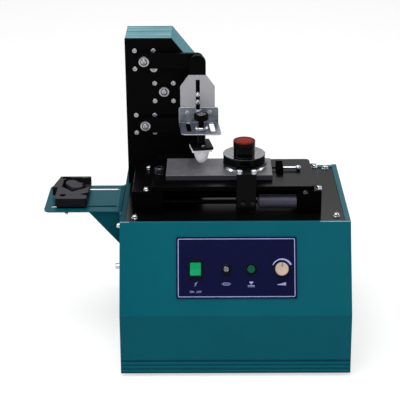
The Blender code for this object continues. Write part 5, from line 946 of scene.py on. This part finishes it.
# The cap's ring is a darker red, a painted shade, and its centre a brighter red, a painted light
turned("knob_cap", [(14, 115.7), (20.9, 115.7), (21.2, 116.1), (21.2, 116.9), (20.9, 117.5), (20.2, 117.9),
                    (18.2, 117.9), (16.4, 117.3), (14, 117.1)], CUP, 96, red_abs, "cup_lid_knob", None,
       closed=True)
turned("knob_cap_centre", [(14.6, 115.9), (14.6, 117.3), (14.0, 117.7), (12.8, 117.8), (3, 117.8)], CUP, 96,
       bright_red, "cup_lid_knob", None)

bm = bmesh.new()
for x in (8.5, 35):
    turn(bm, [(5.6, 0), (5.6, 1.0), (4.9, 1.1), (4.9, 5.6, hexagon), (4.4, 6.4), (1, 6.6)],
         at(x, 39, 80.7), 48)
to_piece("fork_bolts", bm, zinc_plate, "cup_unit", "zinc_steel")
bm = bmesh.new()
for x in (15, 33.6):
    cap_screw(bm, at(x, 33, 22.8, "-Y"), 4.2, 3.4)
ease(to_piece("carriage_screws", bm, black_gloss, "cup_unit", "dark_steel"), 0.3, 2)

# ---- Side shelf ------------------------------------------------------------------------------
# A folded and welded bracket of 2.5 mm steel in the cabinet's own powder coat. Two cap screws
# hold its flange to the cabinet's side, with a longer one in the side below them, and two long
# slots take the jig's studs.

# The back slot has worn wider, and a rib under the shelf stands in for the shade seen through the front one
# The shelf and its rib are painted in a darker copy of the cabinet's teal, a painted shade
shelf_teal_painted_shade = powder_coat("darker_shelf_teal_painted_shade", "#054C58", "#04424D", 1.4, 0.06, rough=0.34, gloss=0.035)
shelf = copied("side_shelf", shelf_teal_painted_shade, "teal_paint")
bm = bmesh.new()
extrude(bm, rounded((-349.5, 159.6), (-227.0, 170.6), 5.0, 6), DECK, "Z", -3.5, 1)
# The shelf's rounded edges take the same pale teal, a painted highlight
ease(carve(shelf, bm), 0.4, edge_finish_or_painted_highlight=pale_teal_painted_highlight)
extruded("front_slot_shade_rib", rounded((-304, 82.3), (-218.2, 84.3), 0.4, 2), DECK, "Z", -9.5, -2.6, shelf_teal_painted_shade,
         "machine_body", "teal_paint")
# A dark strip in the seam's shadow teal, a painted shadow, fills the gap to the cabinet's side
extruded("shelf_gap_painted_shadow", [(-222.5, 0.12), (-222.5, -1.2), (-215.05, -1.2), (-215.05, 3.2), (-217.6, 0.9)],
         DECK, "Y", 53.5, 182, seam_shadow, "machine_body", "teal_paint")
bm = bmesh.new()
for x, y, z in ((-217.8, 46, -27), (-217.8, 160, -40), (-HALF, 20, -99.8)):
    tall = 12.5 if x == -HALF else 6.5
    turn(bm, [(6.4, 0), (6.4, 1.4), (5.2, 1.5), (5.2, tall - 1.1, hexagon), (4.6, tall - 0.2), (1, tall)],
         at(x, y, z, "-X"), 48)
to_piece("shelf_screws", bm, zinc_plate, "machine_body", "zinc_steel")

# ---- Jig -------------------------------------------------------------------------------------
# A rest on a base plate, between two black machined jaws. The jaws slide together round the
# work, and wing nuts under the shelf hold the base's two studs.
eased("jig_base", 0.3, machined_black, "black_paint")
dark_acetal = plastic("black_acetal", "#201F25", "#323137", 0.9, 0.15, rough=0.42, gloss=0.05)
# Each jaw has a wedge cut in from its right side, and the back one a pocket for a gauge
front_jaw = copied("jig_front_jaw", dark_acetal, "black_paint")
bm = bmesh.new()
extrude(bm, [(-296.2, 87.0), (-279, 97.5), (-279, 78.5)], DECK, "Z", 9, 23)
extrude(bm, [(-345, 62), (-337.4, 62), (-337.4, 64.5), (-339.9, 65.3), (-341.8, 67.2), (-342.5, 69.7),
             (-345, 69.7)], DECK, "Z", 0, 23)
ease(carve(front_jaw, bm), 0.5, 2)
back_jaw = copied("jig_back_jaw", dark_acetal, "black_paint")
bm = bmesh.new()
extrude(bm, [(-310, 163.0), (-302.6, 168.5), (-280, 173.5), (-280, 124.5), (-294, 124.5)], DECK, "Z", 7, 23)
carve(back_jaw, bm)
bm = bmesh.new()
extrude(bm, rounded((-338.5, 167.0), (-322.5, 176.8), 1.0, 3), DECK, "Z", 12, 23)
ease(carve(back_jaw, bm), 0.5, 2)
# Their upright sides are painted darker than the tops, a painted shade
jaw_side_painted_shade = plastic("acetal_sides_painted_shade", "#111014", "#1B1A1E", 0.7, 0.1, rough=0.42, gloss=0.03)
for jaw in (front_jaw, back_jaw):
    coat_faces(jaw, jaw_side_painted_shade, is_side)
# The rest is milled to the shape of the work, with a nose that points to the front right
nose = [(-329.6, 145.0), (-329.8, 154.0), (-326.0, 161.5), (-318.0, 163.4), (-311.5, 160.4), (-305.0, 152.4),
        (-299.3, 143.8), (-292.6, 132.0), (-296.8, 124.6), (-303.1, 121.0), (-311.6, 121.6), (-316.7, 124.0),
        (-322.8, 134.0), (-327.2, 141.0)]
ease(extruded("work_rest", nose, DECK, "Z", 3.2, 20.6, dark_acetal, "jig", "black_paint"), 1.6, 4)
STUD_X, STUD_YS = -322.6, (77, 165)
bm = bmesh.new()
for y in STUD_YS:
    nut = at(STUD_X, y, 0)
    turn(bm, [(3.1, -3.1), (4.9, -3.1), (4.9, -4.2), (3.1, -4.2)], nut, 40, closed=True)
    turn(bm, [(3.1, -4.3), (4.8, -4.3), (4.4, -10.6), (3.1, -10.6)], nut, 40, closed=True)
    for way in (1, -1):
        wing = [(way * 3.6, -5.4), (way * 12.6, -6.0), (way * 14.2, -8.4), (way * 12.8, -12.6),
                (way * 9.6, -12.9), (way * 3.8, -9.8)]
        extrude(bm, [(STUD_X + x, z) for x, z in wing], DECK, "Y", y - 1.4, y + 1.4)
ease(to_piece("wing_nuts", bm, zinc_plate, "jig", "zinc_steel"), 0.4)
bm = bmesh.new()
for y in STUD_YS:
    turn(bm, [(3.2, -13.0), (3.3, -13.4), (3.3, -15.7), (2.7, -16.3), (1, -16.4)],
         at(STUD_X, y, 0), 32)
to_piece("stud_ends", bm, nickel, "jig", "zinc_steel")

# ---- Stage -----------------------------------------------------------------------------------
# A pale floor that runs out to the horizon keeps the shadow, under broad soft light. The floor and
# the world look white to the camera and in reflections.
floor_mesh = bpy.data.meshes.new("stage_floor")
floor_mesh.from_pydata([(-30, -12, 0), (30, -12, 0), (30, 60, 0), (-30, 60, 0)], [], [(0, 1, 2, 3)])
floor_paint, tree, shader, place = start_material("pale_floor", rough=1.0, gloss=0.0)
shader.inputs["Base Color"].default_value = (0.42, 0.42, 0.42, 1)
path = add_node(tree, "LightPath")
seen = add_node(tree, "Math", {}, {0: path.outputs["Is Camera Ray"], 1: path.outputs["Is Glossy Ray"]},
                operation="MAXIMUM")
seen = add_node(tree, "Math", {}, {0: seen.outputs[0], 1: path.outputs["Is Transmission Ray"]},
                operation="MAXIMUM")
lift = add_node(tree, "Math", {1: 0.6}, {0: seen.outputs[0]}, operation="MULTIPLY")
shader.inputs["Emission Color"].default_value = (1, 1, 1, 1)
tree.links.new(lift.outputs[0], shader.inputs["Emission Strength"])
floor_mesh.materials.append(floor_paint)
floor = link(bpy.data.objects.new("stage_floor", floor_mesh))

world = bpy.data.worlds.new("studio")
world.use_nodes = True
bpy.context.scene.world = world
tree = world.node_tree
path = add_node(tree, "LightPath")
way = add_node(tree, "SeparateXYZ", {}, {0: add_node(tree, "TexCoord").outputs["Generated"]})
wall = add_node(tree, "MapRange", {"From Min": -0.5, "From Max": 0.5, "To Min": 0.25, "To Max": 0.8},
                {0: way.outputs[1]})
light = add_node(tree, "MapRange", {"To Min": 0.5},
                 {0: path.outputs["Is Glossy Ray"], "To Max": wall.outputs[0]})
seen = add_node(tree, "Math", {}, {0: path.outputs["Is Camera Ray"], 1: path.outputs["Is Transmission Ray"]},
                operation="MAXIMUM")
strength = add_node(tree, "Math", {}, {0: seen.outputs[0], 1: light.outputs[0]}, operation="MAXIMUM")
back = tree.nodes["Background"]
back.inputs["Color"].default_value = (1, 1, 1, 1)
tree.links.new(strength.outputs[0], back.inputs["Strength"])

for name, place, aim, across, along, watts in (
    ("overhead_softbox", (-0.4, -0.7, 2.6), (0, 0, 0.2), 1.8, 1.8, 46),
    ("front_fill", (0.5, -2.4, 1.3), (0, 0, 0.2), 1.4, 1.4, 14),
    ("left_strip", (-2.3, -0.3, 1.1), (0, 0, 0.35), 0.6, 1.2, 9),
    ("right_strip", (2.3, 0.6, 1.0), (0, 0, 0.35), 0.5, 1.2, 9),
    ("far_softbox", (0.0, 3.0, 2.4), (0, 0, 0.5), 3.0, 1.4, 24),
):
    lamp = bpy.data.lights.new(name, "AREA")
    lamp.shape, lamp.size, lamp.size_y, lamp.energy = "RECTANGLE", across, along, watts
    made = link(bpy.data.objects.new(name, lamp))
    made.location = place
    made.rotation_euler = (Vector(aim) - Vector(place)).to_track_quat("-Z", "Y").to_euler()
    made.visible_camera = False
    made.visible_glossy = name != "front_fill"

# The camera stands 2.4 m off at the front and looks down on the deck
pitch, yaw, roll = 0.3961, 0.0095, -0.008
view = Vector((-math.sin(yaw) * math.cos(pitch), math.cos(yaw) * math.cos(pitch), -math.sin(pitch)))
right = Vector((math.cos(yaw), math.sin(yaw), 0))
up = right.cross(view)
side, top = right * math.cos(roll) + up * math.sin(roll), up * math.cos(roll) - right * math.sin(roll)
camera = link(bpy.data.objects.new("camera", bpy.data.cameras.new("camera")))
camera.data.lens, camera.data.sensor_width, camera.data.clip_end = 111.356, 36, 200
stand = Matrix.Translation((0.029, -2.20755, 1.2015))
camera.matrix_world = stand @ Matrix((side, top, -view)).transposed().to_4x4()
bpy.context.scene.camera = camera
bpy.context.scene.view_settings.view_transform = "Standard"
